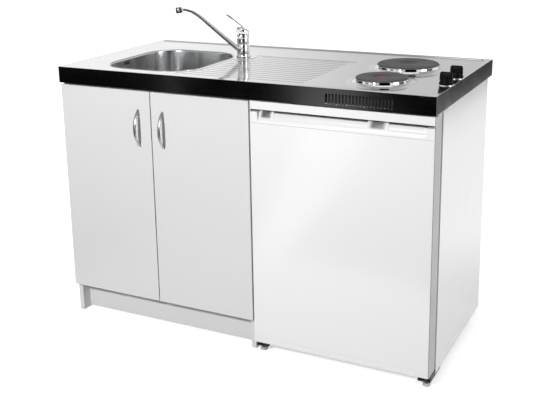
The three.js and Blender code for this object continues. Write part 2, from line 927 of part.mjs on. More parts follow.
// The outlet: a short knurled cup with a sunk screen.
function tapAerator() {
  const radius = aeratorDiameter / 2;
  return turned(
    [
      [0, 0],
      [radius - 2, 0],
      [radius, 2],
      [radius, aeratorLength - 1],
      [radius - 1, aeratorLength],
      [radius - 2.5, aeratorLength],
      [radius - 2.5, aeratorLength - 3],
      [0, aeratorLength - 3],
    ],
    20,
  );
}

// The domed cap over the cartridge, slotted for the lever.
function tapCap() {
  const radius = tapBarrel / 2;
  const low = runningGap;
  const shell = turned(
    [
      [0, low],
      [radius, low],
      [radius, tapCapHeight * 0.62],
      [radius - 2, tapCapHeight * 0.82],
      [radius - 6, tapCapHeight * 0.95],
      [0, tapCapHeight],
    ],
    24,
  );
  const halfSlot = leverHubWidth / 2 + runningGap;
  const hubRoom = leverHub / 2 + runningGap;
  const slot = block(
    [-hubRoom, radius + overlapCut],
    [-halfSlot, halfSlot],
    [leverPivotAbove - hubRoom, tapCapHeight + overlapCut],
  );
  return cut(shell, slot);
}

// The lever: a round hub that rocks in the cap, a thin rod and a thicker end.
function tapLever() {
  const hub = rod(leverHub, -leverHubWidth / 2, leverHubWidth / 2, 20).rotate([90, 0, 0]);
  const slope = THREE.MathUtils.degToRad(leverRise);
  const along = (distance) => new THREE.Vector3(distance * Math.cos(slope), 0, distance * Math.sin(slope));
  const line = new THREE.LineCurve3(along(2), along(leverLength));
  const neck = leverRod / 2;
  const grip = leverGrip / 2;
  const radiusAt = (t) => (t < 0.55 ? neck : neck + (grip - neck) * Math.min(1, (t - 0.55) * 6));
  return join(hub, bar(line, 10, 8, radiusAt));
}

function tap() {
  const outlet = spoutCurve().getPointAt(1);
  const aerator = part("tap_aerator", tapAerator(), "chrome");
  const tilt = THREE.MathUtils.degToRad(90 + aeratorTilt);
  aerator.rotation.y = tilt;
  aerator.position.set(
    outlet.x + seat * Math.sin(tilt),
    0,
    outlet.z + seat * Math.cos(tilt),
  );
  const unit = group(
    [tapX, tapY, 0],
    part("tap_body", tapBody(), "chrome"),
    part("tap_spout", tapSpout(), "chrome"),
    aerator,
    group([0, 0, tapBarrelTop], part("tap_cap", tapCap(), "chrome")),
    group([0, 0, tapBarrelTop + leverPivotAbove], part("tap_lever", tapLever(), "chrome")),
  );
  unit.rotation.z = THREE.MathUtils.degToRad(spoutAzimuth);
  return unit;
}

// ---------------------------------------------------------------- waste
// Drawn about the waste's axis with Z = 0 at the bowl's floor.

const cupRadius = drainHole / 2 - 2;
const cupBottom = -drainCupDepth;
const outletBottom = cupBottom - drainWall - drainOutletDrop;

function drainCup() {
  const outlet = drainOutlet / 2;
  return turned(
    closedProfile([
      [cupRadius - drainWall, drainWall],
      [drainFlange / 2 - 1, drainWall],
      [drainFlange / 2, 0],
      [cupRadius, 0],
      [cupRadius, cupBottom - drainWall],
      [outlet, cupBottom - drainWall],
      [outlet, outletBottom],
      [outlet - drainWall, outletBottom],
      [outlet - drainWall, cupBottom],
      [cupRadius - drainWall, cupBottom],
    ]),
    24,
  );
}

// The lift-out strainer: a slotted basket with a stem to hold it by.
function strainerBasket() {
  const outside = cupRadius - drainWall - runningGap;
  const floor = -basketDepth;
  let basket = turned(
    [
      [0, floor],
      [outside - basketRim, floor],
      [outside, floor + basketRim],
      [outside, 0],
      [outside - basketWall, 0],
      [outside - basketWall, floor + basketRim],
      [outside - basketRim - 1, floor + basketWall],
      [4, floor + basketWall],
      [4, floor + basketStem - 4],
      [7, floor + basketStem],
      [0, floor + basketStem],
    ],
    20,
  );
  for (let i = 0; i < basketSlots; i += 1) {
    const slot = slotOutline(0, outside * 0.58, basketSlotWidth, outside * 0.5);
    const tool = prism("z", slot, floor - overlapCut, floor + basketWall + 1, 2);
    basket = cut(basket, tool.rotate([0, 0, (360 * i) / basketSlots]));
  }
  return basket;
}

// The bottle trap: a neck screwed on the waste, the bottle with its cap and the side outlet.
function bottleTrap() {
  const neck = trapNeck / 2;
  const bottle = trapBottle / 2;
  const outlet = drainOutlet / 2;
  const neckTop = outletBottom + trapNeckHeight / 2;
  const neckFoot = neckTop - trapNeckHeight;
  const shoulder = neckFoot - bottle / 3;
  const bottleFoot = neckFoot - trapBottleHeight;
  const cap = trapCap / 2;
  const body = turned(
    [
      [0, bottleFoot - trapCapHeight],
      [cap - 4, bottleFoot - trapCapHeight],
      [cap, bottleFoot - trapCapHeight + 4],
      [cap, bottleFoot],
      [bottle, bottleFoot],
      [bottle, shoulder],
      [outlet + 3, neckFoot],
      [neck, neckFoot],
      [neck, neckTop],
      [outlet + seat, neckTop],
      [outlet + seat, outletBottom - seat],
      [0, outletBottom - seat],
    ],
    20,
  );
  const arm = rod(trapNeck, 0, bottle + trapArm, 20).rotate([-90, 0, 0]);
  const bore = rod(wastePipe + 2 * seat, bottle + trapArm / 2, bottle + trapArm + overlapCut, 24);
  const armHeight = wasteHeight();
  return cut(
    join(body, arm.translate([0, 0, armHeight])),
    bore.rotate([-90, 0, 0]).translate([0, 0, armHeight]),
  );
}

function wasteHeight() {
  return outletBottom - trapNeckHeight / 2 - trapBottle / 3 - trapNeck / 2;
}

function wastePipePiece() {
  const start = trapBottle / 2 + trapArm / 2 + seat;
  const end = topDepth - wasteFromWall - drainY;
  const tube = cut(
    rod(wastePipe, start, end, 24),
    rod(wastePipe - 2 * wastePipeWall, start - overlapCut, end + overlapCut, 24),
  );
  return tube.rotate([-90, 0, 0]).translate([0, 0, wasteHeight()]);
}

// The overflow: a housing over the slots outside the bowl and a pipe round to the waste cup.
function overflowPiece() {
  const wallAt = (height) => {
    const fall = (height - bowlLip) / (bowlDepth - bowlFloorRadius - bowlLip);
    return bowlX - bowlWidth / 2 + bowlLip + bowlDraft * Math.max(fall, 0) - sheetGauge;
  };
  const middle = overflowFromFront;
  const halfWidth = (overflowSlots * overflowSlotPitch) / 2 + 2;
  const top = -overflowBelowTop + overflowSlotHeight / 2 + 1;
  const foot = -overflowBelowTop - overflowSlotHeight;
  const face = wallAt(overflowBelowTop - overflowSlotHeight / 2) - seat;
  const housing = prism(
    "y",
    polygon([
      [face, Math.min(top, -bowlLip)],
      [face - overflowBend / 2, Math.min(top, -bowlLip)],
      [face - overflowBend, -overflowBelowTop],
      [face - overflowBend, foot],
      [face, foot],
    ]),
    middle - halfWidth,
    middle + halfWidth,
  );
  const x = face - overflowBend / 2;
  const low = -bowlDepth + cupBottom / 2;
  const into = bowlX - cupRadius - seat;
  const pipe = new THREE.CatmullRomCurve3(
    [
      new THREE.Vector3(x, middle, foot + 2),
      new THREE.Vector3(x, middle, foot - overflowBend),
      new THREE.Vector3(x, middle, low + 2 * overflowBend),
      new THREE.Vector3(x + overflowBend * 0.4, middle + overflowBend * 0.5, low + overflowBend / 2),
      new THREE.Vector3(x + overflowBend * 1.4, middle + overflowBend * 1.6, low),
      new THREE.Vector3(into - overflowBend, drainY, low),
      new THREE.Vector3(into, drainY, low),
    ],
    false,
    "centripetal",
  );
  return join(housing, bar(pipe, 18, 8, () => overflowPipe / 2));
}

function wasteSet() {
  return group(
    [bowlX, drainY, -bowlDepth],
    part("drain_cup", drainCup(), "chrome"),
    group([0, 0, drainWall], part("strainer_basket", strainerBasket(), "chrome")),
    part("bottle_trap", bottleTrap(), "whitePlastic"),
    part("waste_pipe", wastePipePiece(), "whitePlastic"),
  );
}

function worktop() {
  return group(
    [0, 0, topHeight],
    part("worktop_sheet", worktopSheet(), "steel"),
    part("sink_bowl", sinkBowl(), "bowlSteel"),
    part("edge_front", edgeFront(), "blackEdge"),
    part("edge_left", edgeSide(-1), "blackEdge"),
    part("edge_right", edgeSide(1), "blackEdge"),
    part("hob_tray", hobTray(), "galvanised"),
    part("overflow_pipe", overflowPiece(), "whitePlastic"),
    hob(),
    tap(),
    wasteSet(),
  );
}

// ---------------------------------------------------------------- cupboard

function cupboardCase() {
  const inside = [cabinetLeft + board, cabinetRight - board];
  const floorTop = doorBottom + board;
  const panelBack = cabinetBack - backPanelInset;
  const panelFront = panelBack - backPanelGauge;
  const serviceMiddle = bowlX;
  const panel = cut(
    block(inside, [panelFront, panelBack], [floorTop, underTop]),
    prism(
      "y",
      roundedBox(
        [serviceMiddle - serviceHoleWidth / 2, serviceMiddle + serviceHoleWidth / 2],
        [serviceHoleBottom, serviceHoleBottom + serviceHoleHeight],
        board,
      ),
      panelFront - overlapCut,
      panelBack + overlapCut,
    ),
  );
  const sideAt = (x) => block([x, x + board], [cabinetFront, cabinetBack], [0, underTop]);
  return group(
    [0, 0, 0],
    part("cabinet_side_left", sideAt(cabinetLeft), "whiteBoard"),
    part("cabinet_side_right", sideAt(cabinetRight - board), "whiteBoard"),
    part(
      "cabinet_floor",
      block(inside, [cabinetFront, panelBack], [doorBottom, floorTop]),
      "whiteBoard",
    ),
    part("cabinet_back", panel, "whiteBoard"),
    part(
      "cabinet_rail",
      block(inside, [cabinetFront, cabinetFront + board], [underTop - railHeight, underTop]),
      "whiteBoard",
    ),
    part(
      "plinth",
      block(inside, [plinthSetback, plinthSetback + board], [plinthClearance, doorBottom]),
      "whiteBoard",
    ),
  );
}

// A door seen from its own hinge edge: X runs from that edge to the free edge, times side.
function cupboardDoor(side) {
  const limits = side > 0 ? [0, doorWidth] : [-doorWidth, 0];
  let door = block(limits, [doorFront, doorBack], [doorBottom, doorTop]);
  for (const z of hingeHeights()) {
    const bore = rod(hingeCup + 2 * seat, doorBack - hingeCupDepth - seat, doorBack + overlapCut, 24);
    door = cut(door, alongY(bore).translate([side * hingeCupInset, 0, z]));
  }
  return door;
}

// Turns a piece that was turned about Z so that it lies along Y, low end first.
function alongY(solid) {
  return solid.rotate([-90, 0, 0]);
}

function hingeHeights() {
  return [doorBottom + hingeFromEnd, doorTop - hingeFromEnd];
}

// The cup sunk in the door, with the flange that its two screws go through and the link across
// its mouth that the arm holds.
function hingeCupPiece() {
  const half = hingeArmWidth / 2;
  const flange = prism(
    "z",
    roundedBox(
      [-hingeFlangeWidth / 2, hingeFlangeWidth / 2],
      [-hingeFlangeHeight / 2, hingeFlangeHeight / 2],
      8,
    ),
    0,
    hingeFlangeGauge,
    2,
  );
  const link = block([-hingeCup, hingeCup], [-half, half], [-hingeCupWall, 2 * overlapCut]);
  const room = rod(
    hingeCup - 2 * hingeCupWall,
    hingeCupWall - hingeCupDepth,
    overlapCut,
    20,
  );
  const cup = rod(hingeCup, -hingeCupDepth, hingeFlangeGauge / 2, 20);
  return alongY(cut(join(cup, flange), cut(room, link)));
}

// The arm on the cupboard side: a mounting plate, the arm and its nose behind the cup.
function hingeArmPiece(side) {
  const inward = (a, b) => (side > 0 ? [a, b] : [-b, -a]);
  const face = board;
  const noseFront = doorBack + hingeFlangeGauge;
  const armStart = cabinetFront + 4;
  const half = hingeArmWidth / 2;
  return join(
    block(
      inward(face, face + hingePlateGauge),
      [armStart + hingePlateSetback, armStart + hingePlateSetback + hingeArmWidth * 2],
      [-hingePlateHeight / 2, hingePlateHeight / 2],
    ),
    block(inward(face, face + hingeArmRise), [armStart, armStart + hingeArmLength], [-half, half]),
    block(
      inward(face + seat, hingeCupInset + hingeArmWidth / 2),
      [noseFront, armStart + hingeArmWidth],
      [-half, half],
    ),
  );
}

// The bow: one smooth curve from foot to foot, wide in the middle, with a boss at each end.
function bowHandle() {
  const half = handleLength / 2 - handleFoot / 2;
  const crest = handleReach - handleThickness / 2;
  const steps = 14;
  const sides = 8;
  const rings = [];
  for (let s = 0; s <= steps; s += 1) {
    const t = (s / steps) * 2 - 1;
    const out = crest * (1 - Math.abs(t) ** 2.4);
    const slope = (crest * 2.4 * Math.sign(t) * Math.abs(t) ** 1.4) / half;
    const across = new THREE.Vector3(0, 1, -slope).normalize();
    const wide = handleWidth / 2 - (handleWidth - handleFoot * 0.75) * 0.5 * t * t;
    const thick = handleThickness / 2;
    const ring = [];
    for (let i = 0; i < sides; i += 1) {
      const turn = (2 * Math.PI * i) / sides;
      const spot = new THREE.Vector3(wide * Math.cos(turn), -out, half * t);
      ring.push(spot.addScaledVector(across, thick * Math.sin(turn)));
    }
    rings.push(ring);
  }
  const boss = (z) => alongY(rod(handleFoot, -handleThickness, 0, 12)).translate([0, 0, z]);
  const front = block([-handleFoot, handleFoot], [-2 * handleReach, 0], [-handleLength, handleLength]);
  return join(loft(rings), boss(half), boss(-half)).intersect(front);
}

function cupboardDoors() {
  const unit = group([0, 0, 0]);
  const doors = [
    ["left", 1, cabinetLeft + doorSideGap],
    ["right", -1, cabinetRight - doorSideGap],
  ];
  for (const [place, side, edge] of doors) {
    unit.add(group([edge, 0, 0], part(`door_${place}`, cupboardDoor(side), "whiteBoard")));
    unit.add(
      group(
        [cabinetMiddle - side * handleFromMiddle, doorFront, handleMiddleHeight],
        part(`handle_${place}`, bowHandle(), "satinNickel"),
      ),
    );
    hingeHeights().forEach((z, i) => {
      const level = i === 0 ? "lower" : "upper";
      unit.add(
        group(
          [edge + side * hingeCupInset, doorBack, z],
          part(`hinge_cup_${place}_${level}`, hingeCupPiece(), "satinNickel"),
        ),
        group(
          [edge - side * doorSideGap, 0, z],
          part(`hinge_arm_${place}_${level}`, hingeArmPiece(side), "satinNickel"),
        ),
      );
    });
  }
  return unit;
}

// ---------------------------------------------------------------- refrigerator

// The room inside: the full depth above the step over the compressor and less below it.
function cavity(inset, front) {
  const across = [cavityLeft + inset, cavityRight - inset];
  return join(
    block(across, [front, cavityBack - inset], [stepTop + inset, cavityTop - inset]),
    block(across, [front, stepFront - inset], [cavityBottom + inset, cavityTop - inset]),
  );
}

// The foamed body with its open front, the compressor bay, the rear feet and the seat for the
// upper hinge.
function fridgeCasing() {
  const footAt = (x) =>
    block([x, x + rearFootSize], [fridgeBack - 2 * rearFootSize, fridgeBack - rearFootSize],
      [0, fridgeBottom]);
  return join(
    cut(
      block([fridgeLeft, fridgeRight], [fridgeFront, fridgeBack], [fridgeBottom, underTop]),
      cavity(0, fridgeFront - overlapCut),
      block(
        [fridgeLeft + baySkin, fridgeRight - baySkin],
        [bayFront, fridgeBack + overlapCut],
        [fridgeBottom + bayRail, bayTop],
      ),
      block(
        [fridgeRight - bracketWidth - seat, fridgeRight + overlapCut],
        [fridgeFront - overlapCut, fridgeFront + bracketWidth + seat],
        [underTop - hingePlate - seat, underTop + overlapCut],
      ),
    ),
    footAt(fridgeLeft + baySkin),
    footAt(fridgeRight - baySkin - rearFootSize),
  );
}

// The moulded lining with the ledges that the shelves lie on.
function fridgeLiner() {
  let liner = cut(cavity(0, fridgeFront), cavity(linerGauge, fridgeFront - overlapCut));
  for (let i = 0; i < ledgeLevels; i += 1) {
    const top = crisperCoverHeight + i * ledgePitch;
    const along = [shelfFront, cavityBack - linerGauge - board];
    const tall = [top - ledgeHeight, top];
    const left = cavityLeft + linerGauge;
    const right = cavityRight - linerGauge;
    liner = join(
      liner,
      block([left - linerGauge / 2, left + ledgeWidth], along, tall),
      block([right - ledgeWidth, right + linerGauge / 2], along, tall),
    );
  }
  return liner;
}

function glassShelf(height) {
  return block(
    [cavityLeft + linerGauge + runningGap, cavityRight - linerGauge - runningGap],
    [shelfFront, cavityBack - linerGauge - runningGap],
    [height, height + shelfGauge],
  );
}

// The vegetable drawer: an open box with a rolled rim at the front to pull it by.
function crisperDrawer() {
  const left = cavityLeft + linerGauge + crisperGap;
  const right = cavityRight - linerGauge - crisperGap;
  const back = stepFront - linerGauge - crisperGap;
  const low = cavityBottom + linerGauge + seat;
  const high = crisperCoverHeight - ledgeHeight - crisperDrop;
  const outer = prism("z", roundedBox([left, right], [crisperFront, back], 14), low, high);
  const inner = prism(
    "z",
    roundedBox(
      [left + crisperWall, right - crisperWall],
      [crisperFront + crisperWall, back - crisperWall],
      14 - crisperWall,
    ),
    low + crisperWall,
    high + overlapCut,
  );
  const middle = (left + right) / 2;
  const quarter = (right - left) / 4;
  const grip = block(
    [middle - quarter, middle + quarter],
    [crisperFront - crisperGrip, crisperFront + crisperWall / 2],
    [high - crisperWall, high],
  );
  return join(cut(outer, inner), grip);
}

function thermostatHousing() {
  const right = cavityRight - linerGauge;
  const front = fridgeFront + thermostatFromFront;
  const top = cavityTop - thermostatFromTop;
  const outline = roundedBox([front, front + thermostatLength], [top - thermostatHeight, top], 12);
  const well = rod(spindleDiameter + 2 * seat, -overlapCut, spindleReach, 16).rotate([0, 90, 0]);
  const [x, y, z] = thermostatKnobPlace();
  return cut(
    prism("x", outline, right - thermostatWidth, right, 2),
    well.translate([x, y, z]),
  );
}

function thermostatKnobPlace() {
  return [
    cavityRight - linerGauge - thermostatWidth,
    fridgeFront + thermostatFromFront + thermostatKnob,
    cavityTop - thermostatFromTop - thermostatHeight / 2,
  ];
}

// The dial, turned about X with its face to the left and its spindle in the housing.
function thermostatDial() {
  const radius = thermostatKnob / 2;
  const dial = turned(
    [
      [0, -thermostatKnobDepth],
      [radius - 2, -thermostatKnobDepth],
      [radius, -thermostatKnobDepth + 2],
      [radius, -runningGap],
      [spindleDiameter / 2, -runningGap],
      [spindleDiameter / 2, spindleReach - 2],
      [0, spindleReach - 2],
    ],
    20,
  );
  const thumb = block([-1.5, 1.5], [-radius + 2, radius - 2], [-thermostatKnobDepth - 4, -2]);
  return join(dial, thumb).rotate([0, 90, 0]);
}

// The door below its grip: foamed skin with a shadow line over the bottom cap and pin hole.
function fridgeDoorShell() {
  const across = [fridgeLeft + fridgeDoorInset, fridgeRight - fridgeDoorInset];
  const seam = fridgeDoorBottom + doorCapHeight;
  const outline = roundedBox(across, [fridgeDoorFront, fridgeDoorBack + 4], 4);
  const slab = prism("z", outline, fridgeDoorBottom, fridgeDoorTop - gripHeight, 2);
  return cut(
    slab,
    block(
      [across[0] - overlapCut, across[1] + overlapCut],
      [fridgeDoorBack, fridgeDoorBack + 2 * overlapCut],
      [0, topHeight],
    ),
    block(
      [across[0] - overlapCut, across[1] + overlapCut],
      [fridgeDoorFront - overlapCut, fridgeDoorFront + doorCapGroove],
      [seam, seam + doorCapGroove],
    ),
    rod(
      hingePinDiameter + 2 * seat,
      fridgeDoorBottom - overlapCut,
      fridgeDoorBottom + hingePinLength + seat,
      16,
    ).translate([hingePinX, hingePinY, 0]),
  );
}

// The moulded grip on top of the door: a lip, the dark slot under it over the full width and
// the finger pocket that slopes back to it.
function fridgeDoorGrip() {
  const across = [fridgeLeft + fridgeDoorInset, fridgeRight - fridgeDoorInset];
  const bottom = fridgeDoorTop - gripHeight;
  const slotTop = fridgeDoorTop - gripLip;
  const pocketFloor = bottom + gripPocketBottom;
  const pocketDeep = fridgeDoorFront + gripPocketDepth;
  const body = cut(
    prism("z", roundedBox(across, [fridgeDoorFront, fridgeDoorBack + 4], 4), bottom, fridgeDoorTop, 2),
    block(
      [across[0] - overlapCut, across[1] + overlapCut],
      [fridgeDoorBack, fridgeDoorBack + 2 * overlapCut],
      [0, topHeight],
    ),
  );
  const slot = block(
    [across[0] + 3, across[1] - 3],
    [fridgeDoorFront - overlapCut, fridgeDoorFront + gripSlotDepth],
    [slotTop - gripSlot, slotTop],
  );
  const scoop = new THREE.Shape();
  scoop.moveTo(fridgeDoorFront - overlapCut, pocketFloor);
  scoop.lineTo(fridgeDoorFront, pocketFloor);
  scoop.quadraticCurveTo(
    fridgeDoorFront + gripPocketDepth / 4,
    slotTop - gripSlot,
    pocketDeep,
    slotTop,
  );
  scoop.lineTo(pocketDeep, slotTop + gripSlot);
  scoop.lineTo(fridgeDoorFront + gripSlotDepth, slotTop + gripSlot);
  scoop.lineTo(fridgeDoorFront + gripSlotDepth / 2, slotTop);
  scoop.lineTo(fridgeDoorFront - overlapCut, slotTop);
  const span = [across[0] + gripPocketFromEdge, across[1] - gripPocketFromEdge];
  const window = prism(
    "y",
    roundedBox(span, [pocketFloor, slotTop + gripPocketDepth], gripPocketBottom),
    fridgeDoorFront - 2 * overlapCut,
    pocketDeep + overlapCut,
  );
  return cut(
    body,
    slot,
    prism("x", scoop, span[0], span[1], 6).intersect(window),
    rod(hingePinDiameter + 2 * seat, fridgeDoorTop - hingePinLength - seat, topHeight, 16)
      .translate([hingePinX, hingePinY, 0]),
  );
}

function doorFrame(inset) {
  return [
    [fridgeLeft + gasketFromEdge + inset, fridgeRight - hingePinFromSide - inset],
    [cavityBottom - gasketWidth - linerGauge * 2 + inset, cavityTop + gasketWidth + 6 - inset],
  ];
}

function fridgeGasket() {
  const front = fridgeDoorBack;
  const [x, z] = doorFrame(0);
  const [innerX, innerZ] = doorFrame(gasketWidth);
  return cut(
    prism("y", roundedBox(x, z, 6), front, front + gasketDepth, 2),
    prism("y", roundedBox(innerX, innerZ, 4), front - overlapCut, front + gasketDepth + overlapCut, 2),
  );
}

// The inner side of the door: a panel with two upright dikes that hold the bins.
function fridgeDoorLiner() {
  const [x, z] = doorFrame(gasketWidth + 1);
  const front = fridgeDoorBack;
  const back = front + linerPanelGauge;
  const dike = (left) =>
    block(
      [left, left + dikeWidth],
      [back - 1, back + dikeDepth],
      [lowerBinBottom - 6, cavityTop - dikeFromTop],
    );
  return join(
    prism("y", roundedBox(x, z, 6), front, back, 2),
    dike(fridgeLeft + dikeFromEdge + 1),
    dike(fridgeRight - dikeFromEdge - 1 - dikeWidth),
  );
}

function doorBin(bottom, height) {
  const left = fridgeLeft + dikeFromEdge + 1 + dikeWidth + seat;
  const right = fridgeRight - dikeFromEdge - 1 - dikeWidth - seat;
  const front = fridgeDoorBack + linerPanelGauge + seat;
  const outline = roundedBox([left, right], [front, front + binDepth], 10);
  const inside = roundedBox(
    [left + binWall, right - binWall],
    [front + binWall, front + binDepth - binWall],
    10 - binWall,
  );
  return cut(
    prism("z", outline, bottom, bottom + height, 2),
    prism("z", inside, bottom + binWall, bottom + height + overlapCut, 2),
  );
}

// The upper hinge: a plate let into the body's top and the pin down into the grip.
function upperHinge() {
  const high = underTop - seat;
  const low = high - hingePlate + seat;
  const pinFoot = fridgeDoorTop - hingePinLength;
  return join(
    prism(
      "z",
      roundedBox(
        [fridgeRight - bracketWidth, fridgeRight - fridgeDoorInset],
        [hingePinY - hingePinDiameter, fridgeFront + bracketWidth],
        hingePinDiameter / 2,
      ),
      low,
      high,
      2,
    ),
    rod(hingePinDiameter, pinFoot, high - 1, 16).translate([hingePinX, hingePinY, 0]),
  );
}

// A plate under the body that reaches forward below the door and stands on a screw foot.
function footBracket(left, x, y) {
  const low = fridgeBottom - bracketGauge;
  return join(
    prism(
      "z",
      roundedBox([left, left + bracketWidth], [y - bracketGauge * 3, y + bracketLength], bracketGauge),
      low,
      fridgeBottom,
      2,
    ),
    turned(
      [
        [0, 0],
        [frontFootDiameter / 2, 0],
        [frontFootDiameter / 2, low / 3],
        [frontFootDiameter / 4, low / 2],
        [frontFootDiameter / 4, low + 1],
        [0, low + 1],
      ],
      18,
    ).translate([x, y, 0]),
  );
}

// The lower hinge adds the pin, its bearing washer and a skirt along the outside.
function lowerHinge() {
  const left = fridgeRight - bracketWidth;
  const washerTop = fridgeDoorBottom - seat;
  return join(
    footBracket(left, hingePinX, hingePinY),
    rod(hingePinDiameter * 2, fridgeBottom - 1, washerTop, 16).translate([hingePinX, hingePinY, 0]),
    rod(hingePinDiameter, fridgeBottom - 1, fridgeDoorBottom + hingePinLength, 16)
      .translate([hingePinX, hingePinY, 0]),
    block(
      [fridgeRight - bracketGauge, fridgeRight],
      [hingePinY - bracketGauge * 2, fridgeFront - seat],
      [fridgeBottom - bracketGauge, fridgeBottom + skirtHeight],
    ),
  );
}

// ---------------------------------------------------------------- cooling machine

// The compressor: a welded pot on a foot plate, with its terminal box on the side.
function compressor() {
  const radius = compressorDiameter / 2;
  const low = fridgeBottom + bayRail + compressorFoot;
  const high = low + compressorHeight - compressorFoot;
  const middle = (low + high) / 2;
  const pot = turned(
    [
      [0, low],
      [radius * 0.72, low],
      [radius * 0.94, low + radius * 0.28],
      [radius, middle - 4],
      [radius + 3, middle - 4],
      [radius + 3, middle + 2],
      [radius, middle + 2],
      [radius * 0.96, high - radius * 0.5],
      [radius * 0.72, high - radius * 0.14],
      [0, high],
    ],
    20,
  );
  const plate = block([-radius, radius], [-radius * 0.8, radius * 0.8], [low - 1, low + 3]);
  let machine = join(
    pot,
    plate,
    block(
      [-radius - terminalBoxReach, 14 - radius],
      [-terminalBoxWidth / 2, terminalBoxWidth / 2],
      [middle - terminalBoxHeight / 2 - 2, middle + terminalBoxHeight / 2 - 2],
    ),
  );
  for (const [sx, sy] of [[-1, -1], [-1, 1], [1, -1], [1, 1]]) {
    const footing = rod(16, fridgeBottom + bayRail, low, 12);
    machine = join(machine, footing.translate([sx * (radius - 12), sy * radius * 0.6, 0]));
  }
  return machine;
}

// The condenser on the back: one tube folded to and fro, wires across it and four stand-offs.
function condenser() {
  const left = fridgeLeft + coilFromSide;
  const right = fridgeRight - coilFromSide;
  const y = fridgeBack + coilStandOff;
  const top = underTop - coilTopGap;
  const bend = coilPitch / 2;
  const path = new THREE.CurvePath();
  const at = (x, z) => new THREE.Vector3(x, y, z);
  for (let i = 0; i < coilRuns; i += 1) {
    const z = top - i * coilPitch;
    const rightward = i % 2 === 0;
    const [from, to] = rightward ? [left + bend, right - bend] : [right - bend, left + bend];
    path.add(new THREE.LineCurve3(at(from, z), at(to, z)));
    if (i + 1 === coilRuns) continue;
    const swing = rightward ? bend : -bend;
    const round = bend * 0.5523;
    const grow = Math.sign(swing) * round;
    path.add(new THREE.CubicBezierCurve3(
      at(to, z), at(to + grow, z), at(to + swing, z - bend + round), at(to + swing, z - bend)));
    path.add(new THREE.CubicBezierCurve3(
      at(to + swing, z - bend), at(to + swing, z - bend - round), at(to + grow, z - 2 * bend),
      at(to, z - 2 * bend)));
  }
  const low = top - (coilRuns - 1) * coilPitch;
  const points = foldedPoints(path);
  let coil = extrudedTube(points, coilTube, 6);
  const wireSide = y + coilTube / 2 + coilWire / 8;
  for (let i = 0; i < coilWires; i += 1) {
    const x = left + 2 * bend + ((right - left - 4 * bend) * i) / (coilWires - 1);
    coil = join(
      coil,
      block(
        [x - coilWire / 2, x + coilWire / 2],
        [wireSide - coilWire / 2, wireSide + coilWire / 2],
        [low - bend, top + bend],
      ),
    );
  }
  for (const x of [left + 2 * bend, right - 2 * bend]) {
    for (const z of [low + coilPitch / 2, top - coilPitch / 2]) {
      coil = join(
        coil,
        block(
          [x - 5, x + 5],
          [fridgeBack + seat, wireSide],
          [z - 6, z + 6],
        ),
      );
    }
  }
  return coil;
}

// The corners of a folded tube: two for a straight run and four round each half bend.
function foldedPoints(path) {
  const points = [path.curves[0].getPoint(0)];
  for (const curve of path.curves) {
    const steps = curve.isLineCurve3 ? 1 : 4;
    for (let i = 1; i <= steps; i += 1) points.push(curve.getPoint(i / steps));
  }
  return points;
}

// A tube of few sides through points that lie in one upright plane facing Y.
function extrudedTube(points, diameter, sides) {
  const outward = new THREE.Vector3(0, 1, 0);
  const rings = points.map((spot, i) => {
    const before = points[Math.max(i - 1, 0)];
    const after = points[Math.min(i + 1, points.length - 1)];
    const across = new THREE.Vector3().subVectors(after, before).normalize().cross(outward);
    const ring = [];
    for (let k = 0; k < sides; k += 1) {
      const turn = (2 * Math.PI * k) / sides;
      ring.push(
        spot
          .clone()
          .addScaledVector(across, (diameter / 2) * Math.cos(turn))
          .addScaledVector(outward, (diameter / 2) * Math.sin(turn)),
      );
    }
    return ring;
  });
  return loft(rings);
}

function refrigerator() {
  const compressorX = fridgeRight - compressorFromRight;
  const compressorY = (bayFront + fridgeBack) / 2;
  const footX = fridgeLeft + bracketWidth / 2 + fridgeDoorInset;
  return group(
    [0, 0, 0],
    part("fridge_casing", fridgeCasing(), "whitePaint"),
    part("fridge_liner", fridgeLiner(), "whitePlastic"),
    part("glass_shelf", glassShelf(shelfHeight), "shelfGlass"),
    part("crisper_cover", glassShelf(crisperCoverHeight), "shelfGlass"),
    part("crisper_drawer", crisperDrawer(), "clearPlastic"),
    part("thermostat_housing", thermostatHousing(), "whitePlastic"),
    group(thermostatKnobPlace(), part("thermostat_knob", thermostatDial(), "whitePlastic")),
    part("fridge_door_shell", fridgeDoorShell(), "whitePaint"),
    part("fridge_door_grip", fridgeDoorGrip(), "whitePlastic"),
    part("fridge_gasket", fridgeGasket(), "greySeal"),
    part("fridge_door_liner", fridgeDoorLiner(), "whitePlastic"),
    part("door_bin_lower", doorBin(lowerBinBottom, lowerBinHeight), "clearPlastic"),
    part("door_bin_upper", doorBin(upperBinBottom, upperBinHeight), "clearPlastic"),
    part("fridge_hinge_upper", upperHinge(), "galvanised"),
    part("fridge_hinge_lower", lowerHinge(), "blackPaint"),
    part(
      "fridge_foot_left",
      footBracket(fridgeLeft + fridgeDoorInset, footX, hingePinY),
      "blackPaint",
    ),
    group([compressorX, compressorY, 0], part("compressor", compressor(), "blackPaint")),
    part("condenser", condenser(), "blackPaint"),
  );
}

// ---------------------------------------------------------------- the whole unit
// The origin lies under the middle of the unit's box.

export default group([0, -depthMiddle, 0], worktop(), cupboardCase(), cupboardDoors(), refrigerator());
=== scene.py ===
"""The looks of a kitchenette unit: a pressed steel worktop with bowl, ribbed drainer, lever tap and
two hotplates, over a two-door cupboard and a small refrigerator.

Sizes are in millimetres in the maker's frame: X from the middle to the right, Y from the
worktop's front edge to the back, Z from the floor. at() turns such a point into the scene's
metres. Each piece has its own function, and so has each material.
"""

import json
import math

import bmesh
import bpy
from mathutils import Matrix, Vector
from mathutils.geometry import tessellate_polygon

